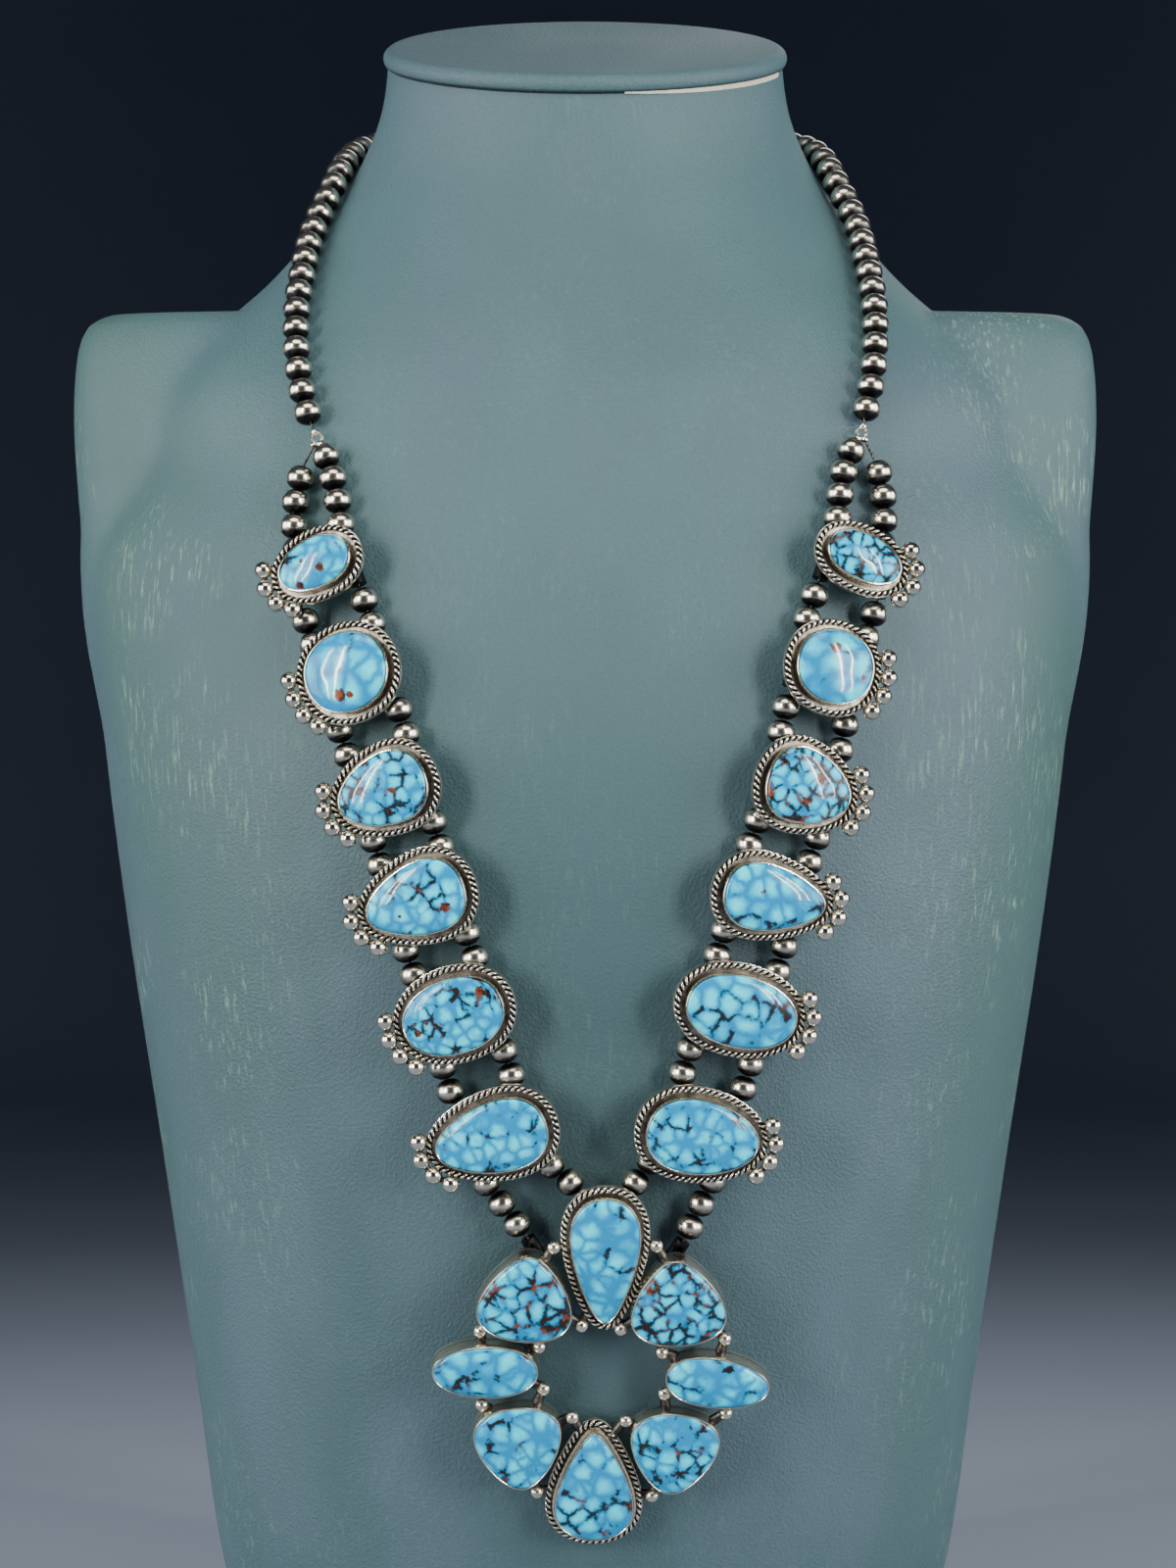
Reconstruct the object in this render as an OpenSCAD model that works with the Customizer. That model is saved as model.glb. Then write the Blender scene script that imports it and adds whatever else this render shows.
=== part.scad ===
// Squash blossom necklace on a plain neck bust.
// Frame: X to the viewer's right, Y away from the viewer, Z up, millimetres.
// The origin is the centre of the flat base of the bust.

/* [Bust] */
// Height of the bust to the middle of its cap seam
bust_h = 421; // [415:1:435]
// Widest part of the chest
chest_w = 261; // [250:1:275]
// How far the chest stands out in front of the middle line
chest_d = 78; // [72:0.5:84]
// How far the back stands out behind the middle line
back_d = 39; // [36:0.5:46]
// Width of the neck under the cap
neck_w = 104.6; // [98:0.2:110]
// Depth of the neck under the cap, front to back
neck_d = 73; // [68:0.5:80]
// Width over the shoulders
shoulder_w = 269.6; // [262:0.2:285]
// Depth of the shoulders, front to back
shoulder_d = 58; // [50:1:66]
// Height of the flat shoulder tops
shoulder_h = 351.6; // [346:0.2:356]
// Forward slope of the neck top and its cap, in degrees
neck_tilt = 17.5; // [10:0.5:22]
// Thickness of the cap's rounded rim
cap_t = 2.8; // [2:0.1:5]
// How far the cap's rim stands out past the neck
cap_overhang = 1.2; // [0.4:0.1:3]

/* [Beads] */
// Radius of a bead across its drilled hole
bead_r = 3.6; // [3:0.05:3.8]
// Length of a bead along its drilled hole
bead_len = 6.2; // [5.4:0.05:6.6]
// Radius of the hole through a bead
bead_hole_r = 0.8; // [0.6:0.05:1.2]
// Room between one bead and the next
bead_gap = 0.3; // [0.25:0.05:0.8]
// Radius of the thread that the beads hang on
thread_r = 0.4; // [0.3:0.05:0.5]
// Room between the beads and the bust
bust_gap = 0.5; // [0.4:0.05:1.5]

/* [Stations] */
// Distance from the fork of a string to its first station
first_step = 35.5; // [35:0.1:38]
// Usual distance between the middles of two stations
station_step = 30; // [29:0.5:33]
// Distance between the two strings of beads at a station
string_spread = 16.2; // [15:0.1:18]
// Distance between the two strings where they enter the first station
first_spread = 13.4; // [12:0.1:16]
// How much lower the outer string enters the first station than the inner one
first_drop = 3; // [2:0.1:3.5]
// Length of the tubes on the back of a station
tube_len = 13.4; // [11:0.1:15]
// Outer radius of the tubes on the back of a station
tube_r = 2; // [1.5:0.1:2.4]
// Bore radius of the tubes
tube_bore_r = 0.8; // [0.6:0.05:1.1]
// Distance from a tube's axis to the back of its plate
web_h = 4; // [4:0.1:6]
// Thickness of the webs between tube and plate
web_t = 1.4; // [1:0.1:2.5]

/* [Settings] */
// Thickness of a setting's back plate
plate_t = 1.1; // [0.8:0.1:1.6]
// Height of a station's bezel above its plate
bezel_h = 2.6; // [1.6:0.1:4]
// Thickness of a bezel's wall
bezel_t = 0.45; // [0.3:0.05:0.8]
// Room between a stone and its bezel
stone_gap = 0.12; // [0.1:0.01:0.3]
// Height of a stone's dome above its bezel
dome_h = 1.9; // [0.8:0.1:4]
// Radius of the twisted rope wire
rope_r = 0.8; // [0.5:0.05:0.9]
// Distance from a stone's edge to the middle of the rope
rope_out = 2.3; // [2.1:0.1:3]
// Radius of the small soldered balls
ball_r = 2.1; // [1.6:0.05:2.3]
// Distance between the middles of a station's neighbouring balls
ball_pitch = 4.9; // [4.8:0.1:5.4]

/* [Pendant] */
// Radius of the pendant's soldered balls
naja_ball_r = 1.6; // [1.3:0.05:1.7]
// Distance from a pendant stone's edge to the middle of the rope
naja_rope_out = 2; // [1.9:0.05:2.1]
// Width of the naja pendant, which places its eight stones
naja_w = 86; // [82:0.5:92]
// Height of the naja pendant, which places its eight stones
naja_h = 98; // [94:0.5:104]
// Radius of the wires that join the pendant's cups
naja_wire_r = 0.5; // [0.4:0.05:0.5]
// How far the pendant's lower edge leans in to the bust, in degrees
naja_lean = 3.6; // [2:0.1:5]
// Length of the tubes on the back of the pendant
naja_tube_len = 6; // [4:0.5:8]

/* [Findings] */
// Middle radius of the fork ring where one string becomes two
fork_ring_r = 1.35; // [1.2:0.05:1.8]
// Radius of the fork ring's wire
fork_wire_r = 0.5; // [0.4:0.05:0.7]
// Bore radius of the sleeves that grip the thread ends
sleeve_bore_r = 0.65; // [0.6:0.05:0.75]
// Wall of the sleeves that grip the thread ends
sleeve_wall = 0.35; // [0.25:0.05:0.6]
// How far a sleeve reaches from the middle of the fork ring
sleeve_reach = 2.4; // [2.3:0.1:3]
// Length of the barrel clasp behind the neck
clasp_len = 14; // [10:0.5:20]
// Radius of the barrel clasp
clasp_r = 2.4; // [1.8:0.1:3]

/* [Hidden] */
LEFT = 0;
RIGHT = 1;
INNER = 0;
OUTER = 1;
STATIONS = 6;

// Columns of the bust's table
AT_H = 0;
WIDE = 1;
NECKNESS = 2;
MIDDLE = 3;
FRONT = 4;
REAR = 5;
BOXY = 6;
// Sections of the bust: height as a share of bust_h, width and depth as
// shares of the chest's, how far they have turned into the neck's, the
// middle line's place as a share of chest_d, the rear as a share of back_d,
// and the exponent of the outline (2 is an ellipse)
bust_rows = [
    [0.000, 0.690, 0.00, -0.012, 0.487, 1.026, 2.3],
    [0.071, 0.742, 0.00, -0.051, 0.564, 1.026, 2.2],
    [0.162, 0.782, 0.00, -0.089, 0.667, 1.026, 2.1],
    [0.309, 0.851, 0.00, -0.115, 0.846, 1.026, 2.0],
    [0.451, 0.920, 0.00, -0.141, 0.962, 1.000, 2.0],
    [0.570, 0.969, 0.00, -0.141, 1.000, 1.000, 2.0],
    [0.679, 1.000, 0.00, -0.128, 0.923, 1.000, 2.0],
    [0.739, 1.000, 0.15, -0.115, 0.905, 1.000, 2.1],
    [0.784, 1.000, 0.21, -0.089, 0.843, 1.000, 2.3],
    [0.820, 1.000, 0.39, -0.064, 0.840, 1.000, 2.5],
    [0.855, 1.000, 0.60, -0.038, 0.865, 1.000, 2.5],
    [0.888, 1.000, 0.75, -0.012, 0.887, 1.000, 2.3],
    [0.922, 1.000, 0.88,  0.013, 0.926, 0.987, 2.1],
    [0.960, 1.000, 0.97,  0.026, 0.983, 0.974, 2.0],
    [0.998, 1.000, 1.00,  0.039, 1.000, 0.974, 2.0],
    [1.045, 1.000, 1.00,  0.052, 1.000, 0.974, 2.0]];

// Sections of the shoulders: height as a share of shoulder_h, half width as a
// share of shoulder_w / 2, depth as a share of shoulder_d / 2
shoulder_rows = [
    [0.671, 0.890, 0.30],
    [0.745, 0.950, 0.68],
    [0.813, 0.977, 0.90],
    [0.882, 0.994, 1.00],
    [0.925, 1.000, 1.00],
    [0.967, 0.995, 0.96],
    [0.988, 0.980, 0.90],
    [1.000, 0.950, 0.80]];
shoulder_box = 3;

// Heights of the bust's own rings as shares of bust_h, below the shoulder top
low_rings = [0, 0.006, 0.04, 0.10, 0.17, 0.24, 0.31, 0.38, 0.45, 0.51, 0.57, 0.62,
             0.67, 0.71, 0.745, 0.775, 0.80, 0.82];
// And above the shoulder top
high_rings = [0.85, 0.864, 0.88, 0.897, 0.914, 0.932, 0.95, 0.962];
bust_sides = 52;
// How much closer the points lie at the sides than at the front, in degrees
side_crowding = 9;
base_edge = 1.5;
crease_blend = 7;
shoulder_edge = 1.4;
cap_gap = 0.2;
cap_dome = 1.2;

// The strings' route: angle from the front about the bust's middle line, and
// height. Each part is a short list chosen by hand, for the left and the right.
route = [
    // One string, from the fork up over the shoulder and round the neck's back
    [[[-51, 314.5], [-53.5, 322], [-57, 334], [-61, 346], [-66, 357.5], [-71.5, 367.5],
      [-77, 377], [-83, 386], [-92, 393], [-105, 398], [-123, 401], [-142, 402], [-161, 402], [-180, 402]],
     [[52.5, 316], [54.5, 324.5], [58, 336.5], [62, 348], [67, 359], [72.5, 368.5],
      [78, 377.5], [83.5, 386], [92, 393], [105, 398], [123, 401], [142, 402], [161, 402], [180, 402]]],
    // The middle between the two strings, from the fork down past the sixth station
    [[[-51, 314.5], [-49, 301], [-45.5, 281], [-38.7, 252.4], [-33, 224.3], [-28.6, 197.8],
      [-23.4, 169.7], [-17.8, 139], [-12, 112]],
     [[52.5, 316], [50.5, 303], [46.9, 282.8], [41, 256.2], [36.6, 227.1], [32.2, 201.1],
      [28, 173.1], [22.8, 141.7], [17, 113]]],
    // The inner string from the fork to the first station
    [[[-51, 314.5], [-49, 310.3], [-47, 304.2], [-45.2, 297.6]],
     [[52.5, 316], [50.5, 312.1], [48.3, 306.1], [46.7, 299.6]]],
    // The outer string from the fork to the first station
    [[[-51, 314.5], [-51.9, 308.6], [-51.9, 301.2], [-51.2, 293.6]],
     [[52.5, 316], [53.3, 310.4], [53.5, 302.9], [52.6, 295.3]]]];
UPPER = 0;
MIDLINE = 1;
FAN = 2;
naja_place = [4.2, 84];

// Columns of the stations' tables
STEP = 0;
LONG = 1;
BROAD = 2;
TAPER = 3;
TURN = 4;
BALLS = 5;
// Stations from the top: distance from the one before as a share of
// station_step, the stone's length and width, how much it narrows towards its
// outer end, its turn from square to the strings in degrees, and the place of
// the balls' middle as an angle round its outer end
station_rows = [
    [[0.00, 18.8, 12.4, 0.08,  9, -10],
     [0.96, 21.0, 19.6, 0.00,  0, -15],
     [1.01, 23.0, 17.4, 0.22,  5,  -4],
     [0.93, 25.6, 17.8, 0.30,  4,  -7],
     [1.00, 25.8, 18.4, 0.05,  4, -10],
     [1.07, 28.4, 17.8, 0.26,  1, -12]],
    [[0.00, 19.4, 11.6, 0.06, -8,   5],
     [0.96, 19.4, 18.2, 0.00,  0,  -4],
     [1.01, 21.6, 18.2, 0.26, -4,   6],
     [0.94, 25.8, 16.2, 0.34,  6,   1],
     [0.97, 28.2, 17.6, 0.05,  0,   2],
     [1.10, 28.2, 18.6, 0.16,  5,  -4]]];
ball_count = 4;

// Columns of the pendant's table
CUP_X = 0;
CUP_Y = 1;
CUP_LONG = 2;
CUP_BROAD = 3;
CUP_TAPER = 4;
CUP_TURN = 5;
CUP_WALL = 6;
CUP_ROPED = 7;
// The pendant's cups, clockwise from the top: place, length and width as
// shares of naja_w (the upright place as a share of naja_h), narrowing of the
// end that the turn points to, turn in degrees, wall height as a share of
// bezel_h, and 1 where a rope goes round
naja_rows = [
    [ 0.009,  0.286, 0.388, 0.195, 0.46, -90, 1.0, 1],
    [ 0.221,  0.178, 0.262, 0.266, 0.42,  94, 1.9, 0],
    [ 0.340, -0.046, 0.298, 0.150, 0.10,  -8, 1.9, 0],
    [ 0.214, -0.249, 0.250, 0.250, 0.36, -96, 1.7, 0],
    [-0.020, -0.346, 0.340, 0.222, 0.54,  90, 1.4, 1],
    [-0.244, -0.233, 0.256, 0.246, 0.36, -84, 1.7, 0],
    [-0.343, -0.014, 0.302, 0.155, 0.06, 180, 1.9, 0],
    [-0.224,  0.190, 0.262, 0.266, 0.42,  84, 1.9, 0]];
// The pendant's ball joints: place as shares of naja_w and naja_h, and the
// two cups that the wires run to
naja_joints = [
    [-0.142,  0.318, 7, 0], [ 0.158,  0.322, 0, 1],
    [-0.059,  0.099, 7, 0], [ 0.055,  0.089, 0, 1],
    [ 0.362,  0.062, 1, 2], [ 0.177,  0.024, 1, 2],
    [ 0.368, -0.149, 2, 3], [ 0.186, -0.093, 2, 3],
    [ 0.152, -0.385, 3, 4], [ 0.073, -0.170, 3, 4],
    [-0.189, -0.373, 4, 5], [-0.086, -0.160, 4, 5],
    [-0.353, -0.124, 5, 6], [-0.171, -0.079, 5, 6],
    [-0.357,  0.084, 6, 7], [-0.183,  0.040, 6, 7]];
// The mouths of the pendant's tubes: place as shares of naja_w and naja_h, and
// turn in degrees, for the inner and the outer string of each side
naja_mouths = [
    [[-0.055, 0.440, 14], [-0.218, 0.318, 32]],
    [[ 0.072, 0.440, -14], [ 0.238, 0.310, -32]]];

// Rounded profile of a stone's dome: share of its outline, share of dome_h
dome_rows = [[1, 0], [0.80, 0.62], [0.45, 0.93]];
stone_sides = 24;
rope_rings = 32;
rope_sides = 5;
thread_sides = 5;
bead_sides = 48;
rod_sides = 24;
cap_sides = 48;
route_steps = 4;
walk_steps = 6;
stone_lift = 0.1;
ball_sink = 0.3;
ball_room = 0.1;
bare_fork = 5.4;
thread_tuck = 1;
plate_lip = 0.9;
web_sink = 0.3;
web_margin = 2;
// A joint's wires start inside its ball and end inside the cups' plates, clear
// of each other: radii from the ball's middle, share of the way from the cup's
wire_start = 1.2;
wire_end = 0.3;

bead_pitch = bead_len + bead_gap;
string_h = bead_r + bust_gap;
cup_floor = plate_t + stone_lift;

// Small helpers
function unit(v) = v / norm(v);
function mix(a, b, t) = a * (1 - t) + b * t;
function power(v, p) = sign(v) * pow(abs(v), p);
function hand(side) = side == LEFT ? -1 : 1;
function pick(list, s) = max([for (i = [0:len(list) - 2]) list[i] <= s ? i : 0]);

// A value that runs smoothly through a table of places and values
function slope(places, values, i) =
    let (a = max(i - 1, 0), b = min(i + 1, len(places) - 1))
    (values[b] - values[a]) / (places[b] - places[a]);
function through(places, values, s) =
    let (i = pick(places, s),
         h = places[i + 1] - places[i],
         t = min(max((s - places[i]) / h, 0), 1))
    values[i] * (2 * t * t * t - 3 * t * t + 1)
    + slope(places, values, i) * h * (t * t * t - 2 * t * t + t)
    + values[i + 1] * (3 * t * t - 2 * t * t * t)
    + slope(places, values, i + 1) * h * (t * t * t - t * t);

// The bust's sections as [half width, middle line, front, rear, exponent]
bust_z = [for (r = bust_rows) r[AT_H] * bust_h];
bust_sections = [for (r = bust_rows)
    let (w = mix(chest_w, neck_w, r[NECKNESS]) / 2,
         d = mix(chest_d, neck_d / 2, r[NECKNESS]))
    [r[WIDE] * w, r[MIDDLE] * chest_d, r[FRONT] * d, r[REAR] * back_d, r[BOXY]]];
function section(z) = through(bust_z, bust_sections, z);
function polar_r(w, d, n, a) =
    pow(pow(abs(sin(a)) / w, n) + pow(abs(cos(a)) / d, n), -1 / n);
function section_r(c, a) = polar_r(c[0], cos(a) > 0 ? c[2] : c[3], c[4], a);
function on_bust(a, z) =
    let (c = section(z), r = section_r(c, a))
    [r * sin(a), c[1] - r * cos(a), z];
function bust_normal(a, z) =
    unit(cross(on_bust(a + 0.5, z) - on_bust(a - 0.5, z), on_bust(a, z + 0.5) - on_bust(a, z - 0.5)));
function above_bust(q, lift) = on_bust(q[0], q[1]) + lift * bust_normal(q[0], q[1]);

// The shoulders' own radius at a height, 0 where they end
shoulder_z = [for (r = shoulder_rows) r[0] * shoulder_h];
shoulder_sizes = [for (r = shoulder_rows) [r[1] * shoulder_w / 2, r[2] * shoulder_d / 2]];
function shoulder_r(a, z) =
    z < shoulder_z[0] || z > shoulder_h + 0.01 ? 0 :
    let (c = through(shoulder_z, shoulder_sizes, z))
    polar_r(c[0], c[1], shoulder_box, a);
function soft_max(a, b, k) =
    let (h = max(k - abs(a - b), 0) / k) max(a, b) + h * h * k / 4;

// A closed solid through rings of points that all have the same count,
// each ring counterclockwise seen from the last ring's end
module skin(rings) {
    n = len(rings[0]);
    last = len(rings) - 1;
    walls = [for (k = [0:last - 1], i = [0:n - 1], half = [0, 1])
        let (a = k * n + i, b = k * n + (i + 1) % n)
        half == 0 ? [a, b + n, b] : [a, a + n, b + n]];
    polyhedron(
        points = [for (r = rings, p = r) p],
        faces = concat(walls, [[for (i = [0:n - 1]) i], [for (i = [n - 1:-1:0]) last * n + i]]));
}

// A tube of a plain round section along a list of points: a flat closed loop, or
// an open wire on the bust, whose rings turn with the bust's own outward side
module wire(points, r, sides, closed = false) {
    count = len(points);
    rings = [for (i = [0:count - 1])
        let (a = points[closed ? (i + count - 1) % count : max(i - 1, 0)],
             b = points[closed ? (i + 1) % count : min(i + 1, count - 1)],
             t = unit(b - a),
             u = unit(cross(t, closed ? [0, 0, 1] : [points[i][0], points[i][1], 0])),
             v = cross(t, u))
        [for (j = [0:sides - 1]) points[i] + r * (cos(360 * j / sides) * u + sin(360 * j / sides) * v)]];
    if (closed) ring_skin(rings);
    else skin(rings);
}
module ring_skin(rings) {
    n = len(rings[0]);
    count = len(rings);
    polyhedron(
        points = [for (r = rings, p = r) p],
        faces = [for (k = [0:count - 1], i = [0:n - 1], half = [0, 1])
            let (a = k * n + i, b = k * n + (i + 1) % n,
                 c = ((k + 1) % count) * n + i, d = ((k + 1) % count) * n + (i + 1) % n)
            half == 0 ? [a, d, b] : [a, c, d]]);
}

// Frames are [x axis, y axis, z axis, origin]
module place(f) {
    multmatrix([for (i = [0:2]) [f[0][i], f[1][i], f[2][i], f[3][i]]]) children();
}
function in_frame(f, p) = f[3] + p[0] * f[0] + p[1] * f[1] + p[2] * f[2];
function rod_frame(a, b) =
    let (z = unit(b - a),
         x = unit(cross(z, abs(z[2]) < 0.9 ? [0, 0, 1] : [1, 0, 0])))
    [x, cross(z, x), z, a];
module rod(a, b, r) {
    place(rod_frame(a, b)) cylinder(r = r, h = norm(b - a), $fn = rod_sides);
}

// Lengths along a list of points, and the point at a length
function step_len(p, i) = norm(p[i] - p[i - 1]);
function run_of(p) = [for (i = 0, s = 0; i < len(p); i = i + 1, s = s + (i < len(p) ? step_len(p, i) : 0)) s];
function last_of(list) = list[len(list) - 1];
function point_at(p, run, s) =
    let (i = pick(run, s)) mix(p[i], p[i + 1], (s - run[i]) / (run[i + 1] - run[i]));
// Ends of the beads that fit on a list of points between two lengths, in the
// middle of it where slack is 0.5 and at its start where slack is 0
function bead_ends(p, from, to, slack) =
    let (run = run_of(p),
         count = floor((to - from + bead_gap) / bead_pitch),
         start = from + slack * (to - from + bead_gap - count * bead_pitch) - bead_gap / 2)
    [for (i = [0:count]) point_at(p, run, start + i * bead_pitch)];

// The strings' route as lists of [angle, height], and as points in space
function even(n) = [for (i = [0:n - 1]) i];
function finer(list) =
    [for (i = [0:(len(list) - 1) * route_steps]) through(even(len(list)), list, i / route_steps)];
routes = [for (part = route) [for (side = part) finer(side)]];
paths = [for (part = routes) [for (side = part) [for (q = side) above_bust(q, string_h)]]];

// The frame of a station: x square to the strings, y up along them, z off the bust
function route_at(part, side, s) =
    point_at(routes[part][side], run_of(paths[part][side]), s);
function station_s(side, i) =
    i == 0 ? first_step : station_s(side, i - 1) + station_rows[side][i][STEP] * station_step;
function frame_at(side, s) =
    let (q = route_at(MIDLINE, side, s),
         z = bust_normal(q[0], q[1]),
         up = above_bust(route_at(MIDLINE, side, s - 2), 0) - above_bust(route_at(MIDLINE, side, s + 2), 0),
         y = unit(up - (up * z) * z))
    [cross(y, z), y, z, above_bust(q, string_h + web_h)];
stations = [for (side = [LEFT, RIGHT]) [for (i = [0:STATIONS - 1]) frame_at(side, station_s(side, i))]];

// Where a string enters and leaves the tube of a station
function string_x(side, line, spread) = (line == INNER ? -1 : 1) * hand(side) * spread / 2;
function top_spread(i) = i == 0 ? first_spread : string_spread;
function top_y(i, line) = tube_len / 2 - (i == 0 && line == OUTER ? first_drop : 0);
function tube_ends(side, i, line) =
    [[string_x(side, line, top_spread(i)), top_y(i, line), -web_h],
     [string_x(side, line, string_spread), -tube_len / 2, -web_h]];
function tube_top(side, i, line) = in_frame(stations[side][i], tube_ends(side, i, line)[0]);
function tube_foot(side, i, line) = in_frame(stations[side][i], tube_ends(side, i, line)[1]);

// The pendant's frame, leaning in towards its foot
naja_frame =
    let (z = bust_normal(naja_place[0], naja_place[1]),
         y = unit([0, 0, 1] - z[2] * z),
         lean_y = cos(naja_lean) * y + sin(naja_lean) * z,
         lean_z = cos(naja_lean) * z - sin(naja_lean) * y,
         top = above_bust(naja_place, string_h + web_h))
    [cross(lean_y, lean_z), lean_y, lean_z, top - naja_mouths[0][0][1] * naja_h * sin(naja_lean) * z];
function mouth(side, line, depth) =
    let (m = naja_mouths[side][line],
         down = [sin(m[2]), -cos(m[2])])
    in_frame(naja_frame, [m[0] * naja_w + depth * down[0], m[1] * naja_h + depth * down[1], -web_h]);

// Each string as stretches: the ends of the beads on it
function fan_path(side, line) =
    let (top = tube_top(side, 0, line), foot = tube_foot(side, 0, line),
         chosen = [for (q = route[FAN + line][side]) above_bust(q, string_h)],
         path = finer(concat(chosen, [top, mix(top, foot, 0.45)])))
    [for (i = [0:len(chosen) * route_steps]) path[i]];
function stretch(side, line, i) =
    i == 0 ? fan_path(side, line) :
    [tube_foot(side, i - 1, line), i == STATIONS ? mouth(side, line, 0) : tube_top(side, i, line)];
function stretch_ends(side, line, i) =
    let (p = stretch(side, line, i),
         from = i > 0 ? bead_gap : sleeve_reach + bead_gap + (line == OUTER ? bare_fork : 0))
    bead_ends(p, from, last_of(run_of(p)) - bead_gap, i == 0 ? 0.5 : i == STATIONS ? 0.7 : 0.5);
string_ends = [for (side = [LEFT, RIGHT]) [for (line = [INNER, OUTER])
    [for (i = [0:STATIONS]) stretch_ends(side, line, i)]]];
function neck_ends(side) =
    bead_ends(paths[UPPER][side], sleeve_reach + bead_gap,
              last_of(run_of(paths[UPPER][side])) - clasp_len / 2 - bead_gap, 0.4);
function fork(side) = paths[UPPER][side][0];
function sleeve_dir(side, part) =
    let (p = paths[part][side]) unit(point_at(p, run_of(p), sleeve_reach) - p[0]);

// An outline that narrows towards its +x end, offset outwards by grow
function outline_point(l, w, taper, t) =
    let (u = power(cos(t), 0.94), v = power(sin(t), 0.94))
    [l / 2 * u, w / 2 * v * (1 - taper * u) / (1 + 0.4 * taper * taper)];
function outline(l, w, taper, grow, sides) = [for (i = [0:sides - 1])
    let (t = 360 * i / sides,
         along = outline_point(l, w, taper, t + 1) - outline_point(l, w, taper, t - 1))
    outline_point(l, w, taper, t) + grow * unit([along[1], -along[0]])];
function lifted(points, z, share = 1) = [for (p = points) [p[0] * share, p[1] * share, z]];

module plate(l, w, taper, grow) {
    linear_extrude(plate_t) polygon(outline(l, w, taper, grow, stone_sides));
}
module bezel(l, w, taper, height) {
    translate([0, 0, plate_t - 0.05]) linear_extrude(height + 0.05) difference() {
        polygon(outline(l, w, taper, stone_gap + bezel_t, stone_sides));
        polygon(outline(l, w, taper, stone_gap, stone_sides));
    }
}
module rope(l, w, taper, out) {
    wire(lifted(outline(l, w, taper, out, rope_rings), plate_t + rope_r * 0.6), rope_r, rope_sides, true);
}
module stone(l, w, taper, height) {
    edge = outline(l, w, taper, 0, stone_sides);
    skin(concat([lifted(edge, cup_floor)],
                [for (d = dome_rows) lifted(edge, plate_t + height + d[1] * dome_h, d[0])]));
}
module tube_body(len) {
    translate([0, len / 2, 0]) rotate([90, 0, 0]) cylinder(r = tube_r, h = len, $fn = rod_sides);
    translate([-web_t / 2, web_margin / 2 - len / 2, 0]) cube([web_t, len - web_margin, web_h + web_sink]);
}
module tube_bore(len) {
    translate([0, len / 2 + 1, 0]) rotate([90, 0, 0]) cylinder(r = tube_bore_r, h = len + 2, $fn = rod_sides);
}

// One station: plate, bezel, rope, four balls and two tubes, soldered to one piece
function tube_run(side, i, line) =
    let (ends = tube_ends(side, i, line)) norm(ends[0] - ends[1]);
module tube_place(side, i, line) {
    ends = tube_ends(side, i, line);
    along = ends[0] - ends[1];
    translate((ends[0] + ends[1]) / 2) rotate([0, 0, atan2(-along[0], along[1])]) children();
}
module setting(side, i) {
    r = station_rows[side][i];
    taper = hand(side) * r[TAPER];
    color("silver") place(stations[side][i]) difference() {
        union() {
            rotate([0, 0, r[TURN]]) {
                plate(r[LONG], r[BROAD], taper, rope_out + plate_lip);
                bezel(r[LONG], r[BROAD], taper, bezel_h);
                rope(r[LONG], r[BROAD], taper, rope_out);
                for (b = [0:ball_count - 1]) {
                    turn = ball_turn(r[LONG], r[BROAD], taper, side == LEFT ? 180 - r[BALLS] : r[BALLS],
                                     (b - (ball_count - 1) / 2) * ball_pitch, walk_steps);
                    spot = outline_ball(r[LONG], r[BROAD], taper, turn);
                    translate([spot[0], spot[1], ball_r + ball_room]) rotate([0, 0, turn])
                        sphere(r = ball_r, $fn = rod_sides);
                }
            }
            for (line = [INNER, OUTER]) tube_place(side, i, line) tube_body(tube_run(side, i, line));
        }
        for (line = [INNER, OUTER]) tube_place(side, i, line) tube_bore(tube_run(side, i, line));
    }
}
function outline_ball(l, w, taper, t) =
    let (along = outline_point(l, w, taper, t + 1) - outline_point(l, w, taper, t - 1))
    outline_point(l, w, taper, t)
    + (rope_out + rope_r + ball_r - ball_sink) * unit([along[1], -along[0]]);
// The angle that lies a run along the balls' line from another angle
function ball_turn(l, w, taper, t, run, steps) =
    steps == 0 ? t :
    let (speed = norm(outline_ball(l, w, taper, t + 1) - outline_ball(l, w, taper, t - 1)) / 2)
    ball_turn(l, w, taper, t + run / steps / speed, run * (steps - 1) / steps, steps - 1);
module station_stone(side, i) {
    r = station_rows[side][i];
    color("deepskyblue") place(stations[side][i]) rotate([0, 0, r[TURN]])
        stone(r[LONG], r[BROAD], hand(side) * r[TAPER], bezel_h);
}

// The pendant: eight cups joined by wires with balls, soldered to one piece
module in_cup(c) {
    translate([c[CUP_X] * naja_w, c[CUP_Y] * naja_h, 0]) rotate([0, 0, c[CUP_TURN]]) children();
}
module naja() {
    color("silver") place(naja_frame) difference() {
        union() {
            for (c = naja_rows) in_cup(c) {
                l = c[CUP_LONG] * naja_w;
                w = c[CUP_BROAD] * naja_w;
                plate(l, w, c[CUP_TAPER], c[CUP_ROPED] ? naja_rope_out + plate_lip : stone_gap + bezel_t);
                bezel(l, w, c[CUP_TAPER], c[CUP_WALL] * bezel_h);
                if (c[CUP_ROPED]) rope(l, w, c[CUP_TAPER], naja_rope_out);
            }
            for (j = naja_joints) naja_joint(j);
            for (side = [LEFT, RIGHT], line = [INNER, OUTER]) mouth_place(side, line) tube_body(naja_tube_len);
        }
        for (side = [LEFT, RIGHT], line = [INNER, OUTER]) mouth_place(side, line) tube_bore(naja_tube_len);
    }
}
module mouth_place(side, line) {
    m = naja_mouths[side][line];
    translate([m[0] * naja_w, m[1] * naja_h, -web_h]) rotate([0, 0, m[2]])
        translate([0, -naja_tube_len / 2, 0]) children();
}
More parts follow.
